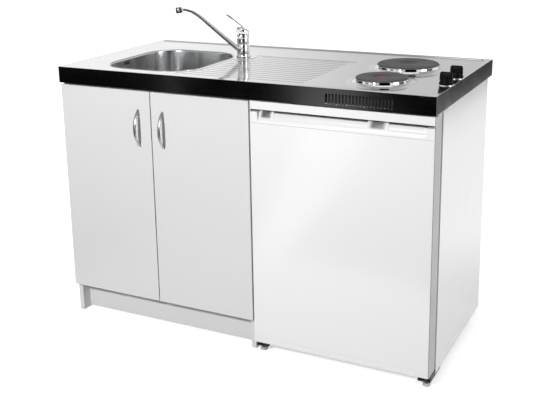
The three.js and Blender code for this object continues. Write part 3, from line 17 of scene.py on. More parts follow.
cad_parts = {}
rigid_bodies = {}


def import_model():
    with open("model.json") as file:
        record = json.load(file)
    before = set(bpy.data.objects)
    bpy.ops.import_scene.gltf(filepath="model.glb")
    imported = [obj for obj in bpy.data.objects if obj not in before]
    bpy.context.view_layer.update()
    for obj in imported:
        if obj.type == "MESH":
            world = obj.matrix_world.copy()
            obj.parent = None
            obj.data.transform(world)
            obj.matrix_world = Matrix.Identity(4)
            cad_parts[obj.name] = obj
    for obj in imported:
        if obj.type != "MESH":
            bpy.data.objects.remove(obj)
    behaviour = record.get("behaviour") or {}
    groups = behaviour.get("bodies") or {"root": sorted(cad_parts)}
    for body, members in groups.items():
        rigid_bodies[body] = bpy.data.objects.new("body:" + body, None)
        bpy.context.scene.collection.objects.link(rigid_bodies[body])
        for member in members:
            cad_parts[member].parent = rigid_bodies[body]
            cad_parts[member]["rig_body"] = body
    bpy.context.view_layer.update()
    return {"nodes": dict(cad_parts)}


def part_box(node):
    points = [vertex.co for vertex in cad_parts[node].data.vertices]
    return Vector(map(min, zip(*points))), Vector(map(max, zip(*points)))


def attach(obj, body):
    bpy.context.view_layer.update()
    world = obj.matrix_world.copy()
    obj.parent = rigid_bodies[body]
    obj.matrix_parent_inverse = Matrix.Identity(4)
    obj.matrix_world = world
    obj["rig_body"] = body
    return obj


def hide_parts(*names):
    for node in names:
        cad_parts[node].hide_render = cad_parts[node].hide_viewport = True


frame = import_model()

# ---------------------------------------------------------------- sizes, in millimetres

MM = 0.001
QUARTER = math.pi / 2
WELD = 2e-6  # points nearer than this, in metres, are one
HAIR = 1e-4  # the radius that stands for none
FRONT_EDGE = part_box("edge_front")[0].y  # the worktop's front edge, in metres

TOP = 822
TOP_HALF = 600
TOP_DEPTH = 600
SHEET = 1
EDGE_STRIP = 2
FLANGE = 50  # the fold down the back

BOWL_X, BOWL_Y = -330, 235
BOWL_HALF_X, BOWL_HALF_Y = 160, 187
BOWL_CORNER = 100
BOWL_DEPTH = 150
BOWL_LIP = 5
BOWL_DRAFT = 8
BOWL_FLOOR_RADIUS = 30
DRAIN_Y = 290
DRAIN_FLANGE = 57
DRAIN_HOLE = 45
OVERFLOW_Y = 197
OVERFLOW_SLOTS, OVERFLOW_PITCH = 3, 9
OVERFLOW_HALF = 2
OVERFLOW_TOP, OVERFLOW_END = 12.5, 25.5  # middles of a slot's round ends, below the top

DRAINER_LEFT, DRAINER_RIGHT = -200, 238
DRAINER_FRONT, DRAINER_BACK = 30, 405
DRAINER_DEPTH = 3
DRAINER_SLOPE = 7
DRAINER_CORNER = 12
DRAINER_RIM = 12
RIBS = 13
RIB_MARGIN = 20
RIB_HALF = 11.5
RIB_HEIGHT = 2.9
RIB_GAP = 16  # from the bowl's rim
ISLAND_RING, ISLAND_GAP = 10, 6  # the ribs keep off a ring round the tap's island

BEAD_FROM_BACK = 20
BEAD_WIDTH = 24
BEAD_HEIGHT = 4
BEAD_FROM_SIDE = 15

TAP_X, TAP_Y = -147, 368
TAP_ISLAND = 45
SPOUT_AZIMUTH = math.radians(216)

HOB_X = 405
PLATES = {"rear": (180, 366), "front": (145, 139)}
PLATE_TOP = 15
PLATE_HOLE_INSET = 5
BOSS_REACH = 26  # the low boss pressed round a plate, from the plate's rim
RED_SPOT = 13
KNOB_X = 578
KNOB_BAR = 23  # the height of the bar to grip
KNOBS = {"rear": 262, "front": 160}

HANDLES = {"left": -313, "right": -227}
HANDLE_Z = 653
DOOR_FACE = 5

DOOR_GRIP_FACE = 4
GROOVE_TOP, GROOVE_HEIGHT = 741, 12
GROOVE_LIFT = 4
GROOVE_FOOT = 16  # the lift starts this far under the groove
SEAM_Z = 706
GRIP_PAINTED_PATCHES = ((91, 134), (411, 469))  # from and to, the two painted patches of shade and reflection on the grip
PATCH_LOW, PATCH_HIGH = 718, 741
PATCH_LEAN = 0.42  # how far they lean back for each mm of height

CORNER_DEPTH = 20  # how far the painted shade on the door's corner goes back

SLOTS, SLOT_PITCH = 20, 9.7  # cooling slots in the front edge
SLOTS_FROM_RIGHT = 210
SLOT_LOW = 42  # the lips under the slots, below the top; their pale zinc is a painted highlight

FOOT_PAD = 7

ALONG_X = (0.02, 1, 1)  # directions of grain
UPRIGHT = (1, 1, 0.04)
EVEN = (1, 1, 1)

WHITE, BLACK = (1, 1, 1, 1), (0, 0, 0, 1)


def at(x, y, z):
    """A point of the maker's frame, in the scene's metres."""
    return Vector((x * MM, FRONT_EDGE + y * MM, z * MM))


# ---------------------------------------------------------------- making meshes


def fractions(count):
    """0 to 1 in so many equal steps."""
    return [k / count for k in range(count + 1)]


def arc(cx, cy, radius, start, end, steps, height):
    """Points of an arc, with both its ends."""
    turns = [start + (end - start) * t for t in fractions(steps)]
    return [Vector((cx + radius * math.cos(t), cy + radius * math.sin(t), height)) for t in turns]


def circle(radius, sides, height=0.0, x=0.0, y=0.0):
    return arc(x, y, radius, 0, 2 * math.pi, sides, height)[:-1]


def rounded_rectangle(x0, x1, y0, y1, radius, height, steps):
    """A loop of points, anticlockwise, with round corners of one radius."""
    middles = ((x1 - radius, y1 - radius), (x0 + radius, y1 - radius),
               (x0 + radius, y0 + radius), (x1 - radius, y0 + radius))
    loop = []
    for quarter, (x, y) in enumerate(middles):
        loop += arc(x, y, radius, QUARTER * quarter, QUARTER * (quarter + 1), steps, height)
    return loop


def smooth_curve(points, steps=6):
    """Points of a Catmull-Rom curve through the given ones."""
    points = [Vector(p) for p in points]
    ends = [2 * points[0] - points[1], *points, 2 * points[-1] - points[-2]]
    curve = []
    for i in range(1, len(ends) - 2):
        a, b, c, d = ends[i - 1 : i + 3]
        for t in fractions(steps)[:-1]:
            curve.append(0.5 * (2 * b + (c - a) * t + (2 * a - 5 * b + 4 * c - d) * t**2
                                + (3 * b - a - 3 * c + d) * t**3))
    return [*curve, points[-1]]


class Shape:
    """Vertices and faces of one piece, gathered in the maker's frame."""

    def __init__(self):
        self.spots, self.faces = [], []

    def add(self, spots, faces):
        base = len(self.spots)
        self.spots += [Vector(spot) for spot in spots]
        self.faces += [[base + i for i in face] for face in faces]
        return self

    def skin(self, rings, close=False):
        """A skin through rings of equally many points; close caps both ends."""
        count = len(rings[0])
        last = (len(rings) - 1) * count
        faces = []
        for a in range(0, last, count):
            for i in range(count):
                j = (i + 1) % count
                faces.append([a + i, a + j, a + count + j, a + count + i])
        if close:
            faces += [list(range(count))[::-1], [last + i for i in range(count)]]
        return self.add([spot for ring in rings for spot in ring], faces)

    def turn(self, profile, centre=(0, 0, 0), sides=64, lay=Matrix.Identity(3)):
        """A profile of (radius, height) points turned about Z. Radius 0 closes an end."""
        middle = Vector(centre)
        return self.skin([
            [lay @ spot + middle for spot in circle(max(radius, HAIR), sides, height)]
            for radius, height in profile])

    def tube(self, path, radii, sides=16, flat=1.0, side=None):
        """A bar along a path. flat squeezes it across the direction named by side."""
        radii = radii if isinstance(radii, list) else [radii] * len(path)
        rings = []
        across = Vector(side) if side else None
        for i, spot in enumerate(path):
            ahead = path[min(i + 1, len(path) - 1)] - path[max(i - 1, 0)]
            ahead.normalize()
            if across is None:
                across = ahead.orthogonal()
            across = (across - ahead * across.dot(ahead)).normalized()
            upward = ahead.cross(across)
            rings.append([spot + across * s.x + upward * (flat * s.y)
                          for s in circle(radii[i], sides)])
        return self.skin(rings, close=True)

    def fill(self, outline, holes=(), up=True):
        """A flat sheet inside an outline, with holes, all at the height of their points."""
        loops = [outline, *holes]
        spots = [spot for loop in loops for spot in loop]
        faces = []
        for a, b, c in tessellate_polygon(loops):
            rises = (spots[b] - spots[a]).cross(spots[c] - spots[a]).z > 0
            faces.append([a, b, c] if rises == up else [a, c, b])
        return self.add(spots, faces)

    def brick(self, low, high):
        spots = [(x, y, z) for z in (low[2], high[2]) for y in (low[1], high[1])
                 for x in (low[0], high[0])]
        sides = [[0, 2, 3, 1], [4, 5, 7, 6], [0, 1, 5, 4], [2, 6, 7, 3], [0, 4, 6, 2], [1, 3, 7, 5]]
        return self.add(spots, sides)


def put_in_scene(name, data):
    """An object in the scene, with this mesh, light or camera."""
    thing = bpy.data.objects.new(name, data)
    bpy.context.scene.collection.objects.link(thing)
    return thing


def finish_piece(name, mesh, material, body, stands_for, sharp):
    mesh.polygons.foreach_set("use_smooth", [True] * len(mesh.polygons))
    if sharp:
        mesh.set_sharp_from_angle(angle=math.radians(sharp))
    mesh.materials.clear()
    mesh.materials.append(material)
    piece = put_in_scene(name, mesh)
    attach(piece, body)
    if stands_for:
        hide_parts(*stands_for)
    return piece


def make_piece(name, shape, material, body, stands_for=(), sharp=35):
    """A mesh object from a shape, smooth except over edges sharper than sharp degrees.
    """
    mesh = bpy.data.meshes.new(name)
    mesh.from_pydata([at(*spot) for spot in shape.spots], [], shape.faces)
    form = bmesh.new()
    form.from_mesh(mesh)
    bmesh.ops.remove_doubles(form, verts=form.verts, dist=WELD)
    form.to_mesh(mesh)
    form.free()
    piece = finish_piece(name, mesh, material, body, stands_for, sharp)
    return piece


def softened(node, material, round_edge, sharpest=25, segments=2, others=(), lift=None):
    """A piece in the exact shape of a CAD node, with its hard edges rounded as made ones are.

    others are (material, test) pairs. A test gets a face's middle in the maker's frame and its
    normal, and says whether the face has that material; the last one that does gives it. lift is
    (from, to, by, by): it raises what lies between two heights, by so much at either.
    """
    source = frame["nodes"][node]
    mesh = bpy.data.meshes.new(node + "_made")
    form = bmesh.new()
    form.from_mesh(source.data)
    bmesh.ops.remove_doubles(form, verts=form.verts, dist=5 * WELD)
    bmesh.ops.dissolve_limit(form, angle_limit=math.radians(0.5), verts=form.verts,
                             edges=form.edges)
    if lift:
        low, high, first, last = lift
        for vertex in form.verts:
            part = (vertex.co.z / MM - low) / (high - low)
            if 0 < part < 1:
                vertex.co.z += (first + (last - first) * part) * MM
    limit = math.radians(sharpest)
    hard = [edge for edge in form.edges if edge.is_manifold and edge.calc_face_angle(0) > limit]
    bmesh.ops.bevel(form, geom=hard, offset=round_edge * MM, offset_type="OFFSET",
                    segments=segments, profile=0.5, affect="EDGES", clamp_overlap=True)
    form.to_mesh(mesh)
    form.free()
    for layer in ("custom_normal", "sharp_edge"):
        if layer in mesh.attributes:
            mesh.attributes.remove(mesh.attributes[layer])
    piece = finish_piece(node + "_made", mesh, material, source["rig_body"], [node], None)
    for number, (other, has_it) in enumerate(others, start=1):
        mesh.materials.append(other)
        for face in mesh.polygons:
            middle = (face.center - Vector((0, FRONT_EDGE, 0))) / MM
            if has_it(middle, face.normal):
                face.material_index = number
    shade = piece.modifiers.new("even_shading", "WEIGHTED_NORMAL")
    shade.keep_sharp = False
    return piece


# ---------------------------------------------------------------- shared effects


def feed(tree, value, socket):
    """Gives a socket a plain value, or links it to another node's output."""
    if isinstance(value, bpy.types.NodeSocket):
        tree.links.new(value, socket)
    else:
        socket.default_value = value


def add_node(tree, kind, *values, **settings):
    """A node. values go to its first sockets; settings name properties or sockets of it."""
    node = tree.nodes.new(kind)
    for key, value in settings.items():
        if hasattr(node, key):
            setattr(node, key, value)
        else:
            feed(tree, value, node.inputs[key.replace("_", " ")])
    for value, socket in zip(values, node.inputs):
        feed(tree, value, socket)
    return node


def calculated(tree, operation, *values):
    """What a math node makes of numbers or outputs."""
    return add_node(tree, "ShaderNodeMath", *values, operation=operation).outputs[0]


def mixed(tree, factor, first, second):
    """A colour that goes from first to second as factor goes from 0 to 1."""
    return add_node(tree, "ShaderNodeMix", data_type="RGBA", Factor=factor, A=first,
                    B=second).outputs["Result"]


def graded(tree, value, low, high, first, last, way="SMOOTHSTEP"):
    """value between low and high turned into first to last."""
    return add_node(tree, "ShaderNodeMapRange", value, low, high, first, last,
                    interpolation_type=way).outputs["Result"]


def coordinates(tree, kind):
    return add_node(tree, "ShaderNodeTexCoord").outputs[kind]


def split(tree, vector):
    """X, Y and Z of a vector."""
    return add_node(tree, "ShaderNodeSeparateXYZ", vector).outputs


def distance(tree, vector):
    return add_node(tree, "ShaderNodeVectorMath", vector, operation="LENGTH").outputs["Value"]


def stretched_noise(tree, scale, stretch, detail=3.0):
    """Noise on object coordinates, drawn out by a vector of scales."""
    spot = add_node(tree, "ShaderNodeMapping", Vector=coordinates(tree, "Object"), Scale=stretch)
    return add_node(tree, "ShaderNodeTexNoise", Vector=spot.outputs[0], Scale=scale,
                    Detail=detail).outputs["Fac"]


def new_group(name, inputs, *outputs):
    """An empty shader node group. Inputs are {name: (kind, value)}, outputs (name, kind)."""
    group = bpy.data.node_groups.new(name, "ShaderNodeTree")
    for label, (kind, value) in inputs.items():
        socket = group.interface.new_socket(label, in_out="INPUT", socket_type="NodeSocket" + kind)
        socket.default_value = value
    for label, kind in outputs:
        group.interface.new_socket(label, in_out="OUTPUT", socket_type="NodeSocket" + kind)
    source, result = (group.nodes.new("NodeGroup" + end) for end in ("Input", "Output"))
    return group, source.outputs, result.inputs


def tone_group():
    """Slight unevenness of a colour: broad cloudy patches between two colours."""
    group, source, result = new_group(
        "uneven_tone",
        {"Colour": ("Color", rgba(0.8)), "Other Colour": ("Color", rgba(0.75)),
         "Scale": ("Float", 6)},
        ("Colour", "Color"))
    noise = stretched_noise(group, source["Scale"], EVEN)
    feed(group, mixed(group, noise, source["Colour"], source["Other Colour"]), result["Colour"])
    return group


def gloss_group():
    """Handling marks: roughness that wanders between two values."""
    group, source, result = new_group(
        "uneven_gloss",
        {"Smooth": ("Float", 0.1), "Rough": ("Float", 0.2), "Scale": ("Float", 12),
         "Stretch": ("Vector", EVEN)},
        ("Roughness", "Float"))
    noise = stretched_noise(group, source["Scale"], source["Stretch"])
    rough = graded(group, noise, 0.3, 0.7, source["Smooth"], source["Rough"], way="LINEAR")
    feed(group, rough, result["Roughness"])
    return group


def grain_group():
    """Fine relief, such as drawing lines, orange peel or moulded grain, as a height."""
    group, source, result = new_group(
        "fine_relief", {"Scale": ("Float", 400), "Stretch": ("Vector", EVEN)}, ("Height", "Float"))
    noise = stretched_noise(group, source["Scale"], source["Stretch"], detail=2.0)
    feed(group, noise, result["Height"])
    return group


def rings_group():
    """Turned rings about an upright axis: a height, and the distance from the axis in metres."""
    group, source, result = new_group(
        "turned_rings", {"Axis": ("Vector", (0, 0, 0)), "Pitch": ("Float", 0.003)},
        ("Height", "Float"), ("Radius", "Float"))
    away = add_node(group, "ShaderNodeVectorMath", coordinates(group, "Object"), source["Axis"],
                    operation="SUBTRACT")
    level = add_node(group, "ShaderNodeVectorMath", away.outputs[0], (1, 1, 0),
                     operation="MULTIPLY")
    radius = distance(group, level.outputs[0])
    turns = calculated(group, "DIVIDE", radius, source["Pitch"])
    feed(group, calculated(group, "PINGPONG", turns, 0.5), result["Height"])
    feed(group, radius, result["Radius"])
    return group


def rgba(colour):
    """A grey or a triple as an opaque colour."""
    return (*colour, 1) if isinstance(colour, tuple) else (colour, colour, colour, 1)


TONE, GLOSS, GRAIN, RINGS = tone_group(), gloss_group(), grain_group(), rings_group()


def use_group(tree, group, **values):
    """The outputs of a group that has these values."""
    return add_node(tree, "ShaderNodeGroup", node_tree=group, **values).outputs


def new_material(name):
    material = bpy.data.materials.new(name)
    material.use_nodes = True
    return material


def shader_sockets(material):
    return material.node_tree.nodes["Principled BSDF"].inputs


def set_shader(material, **values):
    """Feeds values or outputs to the sockets of a material's shader."""
    for label, value in values.items():
        feed(material.node_tree, value, shader_sockets(material)[label.replace("_", " ")])
    return material


def finish(name, colour, other, rough, relief, drawn=EVEN, patches=6.0, marks=12.0, **extra):
    """A material: an uneven colour, uneven gloss and fine relief on one shader.

    rough is (smooth, rough), relief is (scale, depth in mm) and drawn the direction of the grain.
    """
    material = new_material(name)
    tree = material.node_tree
    tone = use_group(tree, TONE, Colour=rgba(colour), Other_Colour=rgba(other), Scale=patches)
    gloss = use_group(tree, GLOSS, Smooth=rough[0], Rough=rough[1], Scale=marks, Stretch=drawn)
    grain = use_group(tree, GRAIN, Scale=relief[0], Stretch=drawn)
    bump = add_node(tree, "ShaderNodeBump", Strength=1.0, Distance=relief[1] * MM,
                    Height=grain["Height"])
    return set_shader(material, Base_Color=tone["Colour"], Roughness=gloss["Roughness"],
                      Normal=bump.outputs["Normal"], **extra)


def blend_into(material, factor, other):
    """The material's own colour where factor is 1, and another one where it is 0."""
    own = shader_sockets(material)["Base Color"].links[0].from_socket
    return set_shader(material, Base_Color=mixed(material.node_tree, factor, rgba(other), own))


# ---------------------------------------------------------------- finishes


def worktop_steel():
    return finish("polished_worktop_steel", (0.82, 0.822, 0.825), (0.78, 0.782, 0.785),
                  (0.07, 0.13), (900, 0.004), ALONG_X, patches=3.0, marks=60.0, Metallic=1.0)


def bowl_steel():
    return finish("satin_bowl_steel", (0.62, 0.625, 0.63), (0.55, 0.555, 0.56),
                  (0.14, 0.24), (700, 0.006), UPRIGHT, patches=5.0, marks=40.0, Metallic=1.0)


def chrome():
    return finish("bright_chrome", 0.78, 0.74, (0.03, 0.06), (300, 0.001), patches=20.0,
                  Metallic=1.0)


def black_coat():
    return finish("black_edge_coat", 0.0012, 0.0020, (0.11, 0.16), (900, 0.003), patches=3.0,
                  IOR=1.6)


def black_plastic():
    return finish("black_knob_plastic", 0.002, 0.003, (0.36, 0.46), (1500, 0.008), patches=30.0,
                  Specular_IOR_Level=0.05)


def melamine():
    return finish("white_melamine", 0.72, 0.70, (0.34, 0.44), (1600, 0.006), patches=2.0)


def enamel():
    return finish("white_enamel", 0.86, 0.84, (0.16, 0.22), (260, 0.010), patches=2.0,
                  Coat_Weight=0.2, Coat_Roughness=0.08)


def white_moulding():
    return finish("white_moulded_plastic", 0.86, 0.83, (0.18, 0.26), (800, 0.004), patches=8.0)


def grey_trim():
    return finish("light_grey_trim", 0.54, 0.51, (0.45, 0.55), (800, 0.002), patches=8.0)


# Painted shade: the dark grey stands for the shadow in the groove under the lip of the fridge
# door's grip.
def painted_groove_shade():
    return finish("painted_groove_shade_grey", 0.125, 0.11, (0.35, 0.45), (800, 0.004), patches=8.0)


# Painted shade: a greyer copy of the white moulding that darkens the ramp of the grip.
def painted_ramp_shade():
    return finish("painted_ramp_shade_moulding", 0.70, 0.67, (0.30, 0.40), (800, 0.004), patches=8.0)


# Painted shade: the dark grey on the rounded front corner of the fridge door.
def painted_corner_shade():
    return finish("painted_door_corner_shade", 0.19, 0.17, (0.45, 0.55), (800, 0.002), patches=8.0)


def painted_patch_grey():
    """Painted shade and reflection: dark in the middle, and as pale as the moulding round it at the
    ends and the bottom.
    """
    material = finish("painted_shade_and_reflection_patch", 0.075, 0.06, (0.40, 0.50), (900, 0.004), patches=40.0)
    tree = material.node_tree
    parts = split(tree, coordinates(tree, "Generated"))
    from_end = calculated(tree, "PINGPONG", parts["X"], 0.5)
    inside = calculated(tree, "MULTIPLY", graded(tree, from_end, 0.02, 0.30, 0, 1),
                        graded(tree, parts["Z"], 0.0, 0.35, 0, 1))
    return blend_into(material, inside, 0.72)


def black_rubber():
    return finish("black_rubber", 0.006, 0.009, (0.45, 0.6), (1100, 0.01), patches=30.0)


def pipe_plastic():
    return finish("white_pipe_plastic", (0.76, 0.76, 0.75), (0.72, 0.72, 0.70), (0.32, 0.45),
                  (700, 0.008), patches=15.0)


def satin_nickel():
    return finish("satin_nickel", 0.40, 0.34, (0.24, 0.34), (1200, 0.005), UPRIGHT, patches=12.0,
                  marks=80.0, Metallic=1.0)


def zinc():
    return finish("dull_zinc", (0.52, 0.53, 0.54), (0.40, 0.41, 0.43), (0.34, 0.55), (400, 0.006),
                  patches=45.0, marks=70.0, Metallic=1.0)


def black_enamel():
    return finish("satin_black_enamel", 0.012, 0.02, (0.35, 0.5), (500, 0.012), patches=20.0)


def seal_vinyl():
    return finish("grey_seal_vinyl", 0.46, 0.42, (0.5, 0.62), (900, 0.01), patches=30.0)


def see_through(name, colour, rough, ior):
    """Clear mouldings and glass."""
    return finish(name, colour, colour, rough, (200, 0.004), IOR=ior, Transmission_Weight=0.92)


def cast_iron(name, centre, spot_radius):
    """Grey coated cast iron with turned rings, and a red spot where the plate has one."""
    material = finish(name, 0.047, 0.035, (0.42, 0.58), (900, 0.01), patches=25.0)
    tree = material.node_tree
    rings = use_group(tree, RINGS, Axis=tuple(centre), Pitch=0.0032)
    grain = shader_sockets(material)["Normal"].links[0].from_socket
    bump = add_node(tree, "ShaderNodeBump", Distance=0.0004, Height=rings["Height"], Normal=grain)
    set_shader(material, Normal=bump.outputs["Normal"])
    if spot_radius:
        edge = (spot_radius - 1.5) * MM
        outside = graded(tree, rings["Radius"], edge, spot_radius * MM, 0, 1)
        blend_into(material, outside, (0.19, 0.03, 0.03))
    return material


STEEL = worktop_steel()
BOWL_STEEL = bowl_steel()
CHROME = chrome()
EDGE_COAT = black_coat()
KNOB_PLASTIC = black_plastic()
BOARD = melamine()
ENAMEL = enamel()
MOULDING = white_moulding()
TRIM = grey_trim()
# painted shade in the groove under the grip's lip
GROOVE_SHADE = painted_groove_shade()
# painted shade on the ramp of the grip
RAMP_SHADE = painted_ramp_shade()
# painted shade on the front corner of the fridge door
CORNER_SHADE = painted_corner_shade()
# painted patches of shade and reflection for the grip
PAINTED_PATCH_GREY = painted_patch_grey()
RUBBER = black_rubber()
PIPE = pipe_plastic()
NICKEL = satin_nickel()
ZINC = zinc()
BLACK_ENAMEL = black_enamel()
SEAL = seal_vinyl()
CLEAR = see_through("clear_polystyrene", (0.93, 0.97, 0.98), (0.04, 0.10), 1.45)
GLASS = see_through("shelf_glass", (0.86, 0.96, 0.93), (0.01, 0.03), 1.5)

# ---------------------------------------------------------------- worktop


def bowl_loop(inset, depth):
    """The bowl's outline at a depth below the top, drawn in from its edge."""
    half_x, half_y = BOWL_HALF_X - inset, BOWL_HALF_Y - inset
    return rounded_rectangle(BOWL_X - half_x, BOWL_X + half_x, BOWL_Y - half_y, BOWL_Y + half_y,
                             max(BOWL_CORNER - inset, BOWL_LIP), TOP - depth, 16)


def drainer_loop(inset, height):
    """The outline of the sunk drainer: it follows the bowl's rim and leaves the tap its island."""
    left, right = DRAINER_LEFT + inset, DRAINER_RIGHT - inset
    front, back = DRAINER_FRONT + inset, DRAINER_BACK - inset
    corner = max(DRAINER_CORNER - inset, 2)
    rim = BOWL_X + BOWL_HALF_X + DRAINER_RIM + inset
    bowl_x = BOWL_X + BOWL_HALF_X - BOWL_CORNER
    bowl_y = BOWL_Y - BOWL_HALF_Y + BOWL_CORNER
    bowl_r = BOWL_CORNER + DRAINER_RIM + inset
    island = TAP_ISLAND + inset
    loop = arc(left + corner, front + corner, corner, 2 * QUARTER, 3 * QUARTER, 5, height)
    loop += arc(right - corner, front + corner, corner, -QUARTER, 0, 5, height)
    loop += arc(right - corner, back - corner, corner, 0, QUARTER, 5, height)
    start = math.asin((back - TAP_Y) / island)
    end = math.acos((TAP_X - rim) / island) - 2 * QUARTER
    loop += arc(TAP_X, TAP_Y, island, start, end, 24, height)
    last = -math.acos((left - bowl_x) / bowl_r)
    return loop + arc(bowl_x, bowl_y, bowl_r, 0, last, 16, height)


def soft_slope(depth, run):
    """(inset, height) points of a pressed edge that falls by depth over run, flat at both ends."""
    flat = 0.3
    return [(0, 0)] + [(flat + run * t, -depth * (3 * t**2 - 2 * t**3)) for t in fractions(6)]


def rib_edge(y):
    """Where a rib starts: beside the bowl's rim or the tap's island."""
    radius = BOWL_CORNER + DRAINER_RIM
    beyond = abs(y - BOWL_Y) - (BOWL_HALF_Y - BOWL_CORNER)
    dip = min(max(beyond, 0), radius)
    rim = BOWL_X + BOWL_HALF_X - BOWL_CORNER + math.sqrt(radius**2 - dip**2)
    start = max(rim, DRAINER_LEFT) + RIB_GAP
    island = TAP_ISLAND + ISLAND_RING
    if abs(y - TAP_Y) < island:
        start = max(start, TAP_X + math.sqrt(island**2 - (y - TAP_Y) ** 2) + ISLAND_GAP)
    return start


def raised_bead(shape, x0, x1, y, half, base, height):
    """Adds a long pressed bead with round ends and a soft foot. Gives the outline of the foot."""
    rings = []
    for t in fractions(7):
        radius = max(half * (1 - t), 0.02)
        z = base + height * (0.5 + 0.5 * math.cos(math.pi * (1 - t)))
        rings.append(arc(x1, y, radius, -QUARTER, QUARTER, 10, z)
                     + arc(x0, y, radius, QUARTER, 3 * QUARTER, 10, z))
    shape.skin(rings)
    shape.fill(rings[-1])
    return rings[0]


def worktop_sheet():
    shape = Shape()
    # the drainer field and its ribs
    slope = soft_slope(DRAINER_DEPTH, DRAINER_SLOPE)
    rings = [drainer_loop(inset, TOP + drop) for inset, drop in slope]
    shape.skin(rings)
    first, last = DRAINER_FRONT + RIB_MARGIN, DRAINER_BACK - RIB_MARGIN
    rib_end = DRAINER_RIGHT - RIB_MARGIN - RIB_HALF
    feet = [raised_bead(shape, rib_edge(y), rib_end, y, RIB_HALF, TOP - DRAINER_DEPTH, RIB_HEIGHT)
            for y in (first + (last - first) * t for t in fractions(RIBS - 1))]
    shape.fill(rings[-1], feet)
    # the bead along the back, and the rolled edge into the bowl
    bead_y = TOP_DEPTH - BEAD_FROM_BACK - BEAD_WIDTH / 2
    reach = TOP_HALF - BEAD_FROM_SIDE - BEAD_WIDTH / 2
    bead = raised_bead(shape, -reach, reach, bead_y, BEAD_WIDTH / 2, TOP, BEAD_HEIGHT)
    holes = [rings[0], bead, bowl_loop(-0.1, 0)]
    under_holes = [bowl_loop(-0.1, SHEET)]
    # low pressed bosses under the hotplates, and the holes in them
    for diameter, y in PLATES.values():
        outer, inner = diameter / 2 + BOSS_REACH, diameter / 2 - PLATE_HOLE_INSET
        shape.turn(
            [(outer, 0), (outer - 0.4, 0), (outer - 3, 0.5), (outer - 6, 1.0), (outer - 9, 1.2),
             (inner + 1, 1.2), (inner, -SHEET)], (HOB_X, y, TOP), sides=96)
        holes.append(circle(outer, 96, TOP, HOB_X, y))
        under_holes.append(circle(inner, 96, TOP - SHEET, HOB_X, y))
    # the low collars pressed round the knobs
    for y in KNOBS.values():
        shape.turn([(21.6, 0), (21.5, 0.6), (21.2, 1.5), (20.7, 2.0), (20.0, 1.9), (19.5, 1.0),
                    (19.4, 0)], (KNOB_X, y, TOP))
    # the edge turned down inside the black strip
    rolled = []
    side = TOP_HALF - EDGE_STRIP - SHEET
    for t in fractions(4):
        grow, fall = SHEET * math.sin(QUARTER * t), SHEET * (1 - math.cos(QUARTER * t))
        rolled.append(rounded_rectangle(
            -side - grow, side + grow, EDGE_STRIP + SHEET - grow, TOP_DEPTH - SHEET + grow,
            1.5 + grow, TOP - fall, 4))
    shape.fill(rolled[0], holes)
    shape.skin(rolled[::-1])
    # underside and back flange
    below = TOP - SHEET
    shape.fill([Vector((s.x, s.y, below)) for s in rolled[-1]], under_holes, up=False)
    shape.brick((-TOP_HALF, TOP_DEPTH - SHEET, TOP - FLANGE), (TOP_HALF, TOP_DEPTH, below))
    make_piece("worktop_pressing", shape, STEEL, "unit", ["worktop_sheet"], sharp=50)


def sink_bowl():
    rings = [bowl_loop(-0.1, 0)]
    for t in fractions(8):
        rings.append(bowl_loop(0.4 + (BOWL_LIP - 0.4) * math.sin(QUARTER * t),
                               BOWL_LIP * (1 - math.cos(QUARTER * t))))
    foot = BOWL_DEPTH - BOWL_FLOOR_RADIUS
    for t in fractions(6)[1:]:
        rings.append(bowl_loop(BOWL_LIP + BOWL_DRAFT * t, BOWL_LIP + (foot - BOWL_LIP) * t))
    for t in fractions(10)[1:]:
        rings.append(bowl_loop(
            BOWL_LIP + BOWL_DRAFT + BOWL_FLOOR_RADIUS * (1 - math.cos(QUARTER * t)),
            foot + BOWL_FLOOR_RADIUS * math.sin(QUARTER * t)))
    shape = Shape().skin(rings[::-1])
    shape.fill(rings[-1], [circle(DRAIN_HOLE, 64, TOP - BOWL_DEPTH, BOWL_X, DRAIN_Y)])
    bowl = make_piece("sink_bowl_drawn", shape, BOWL_STEEL, "unit", ["sink_bowl"], sharp=None)
    gauge = bowl.modifiers.new("sheet_gauge", "SOLIDIFY")
    gauge.thickness = SHEET * MM
    gauge.offset = -1
    # Black bodies in the overflow slots: painted shade for their dark inside.
    slots = Shape()
    wall = BOWL_X - BOWL_HALF_X + BOWL_LIP
    for i in range(OVERFLOW_SLOTS):
        y = OVERFLOW_Y + (i - 1) * OVERFLOW_PITCH
        ring = arc(y, TOP - OVERFLOW_TOP, OVERFLOW_HALF, 0, math.pi, 8, 0)
        ring += arc(y, TOP - OVERFLOW_END, OVERFLOW_HALF, math.pi, 2 * math.pi, 8, 0)
        slots.skin([[Vector((x, s.x, s.y)) for s in ring] for x in (wall - 8, wall + 1.2)],
                   close=True)
    make_piece("overflow_slot_shade", slots, RUBBER, "unit")


def black_edges():
    for node in ("edge_front", "edge_left", "edge_right"):
        softened(node, EDGE_COAT, 0.5)
    # Low lips under the slots; their pale zinc colour is a painted highlight on the black edge.
    lips = Shape()
    span = (SLOTS - 1) * SLOT_PITCH
    first = TOP_HALF - SLOTS_FROM_RIGHT - span / 2
    for i in range(SLOTS):
        x, z = first + i * SLOT_PITCH, TOP - SLOT_LOW
        path = smooth_curve([(x - 1.8, 0.3, z + 0.4), (x, -0.1, z), (x + 1.8, 0.3, z + 0.4)], 4)
        lips.tube(path, 0.35, sides=8)
    make_piece("vent_highlight_lips", lips, ZINC, "unit")
    # A black sheet behind the slots: painted shade for the dark inside of the unit.
    shade_sheet = Shape().brick((first - 8, 18, TOP - FLANGE), (first + span + 8, 19, TOP - 19))
    make_piece("vent_shade_sheet", shade_sheet, RUBBER, "unit")


# ---------------------------------------------------------------- hob


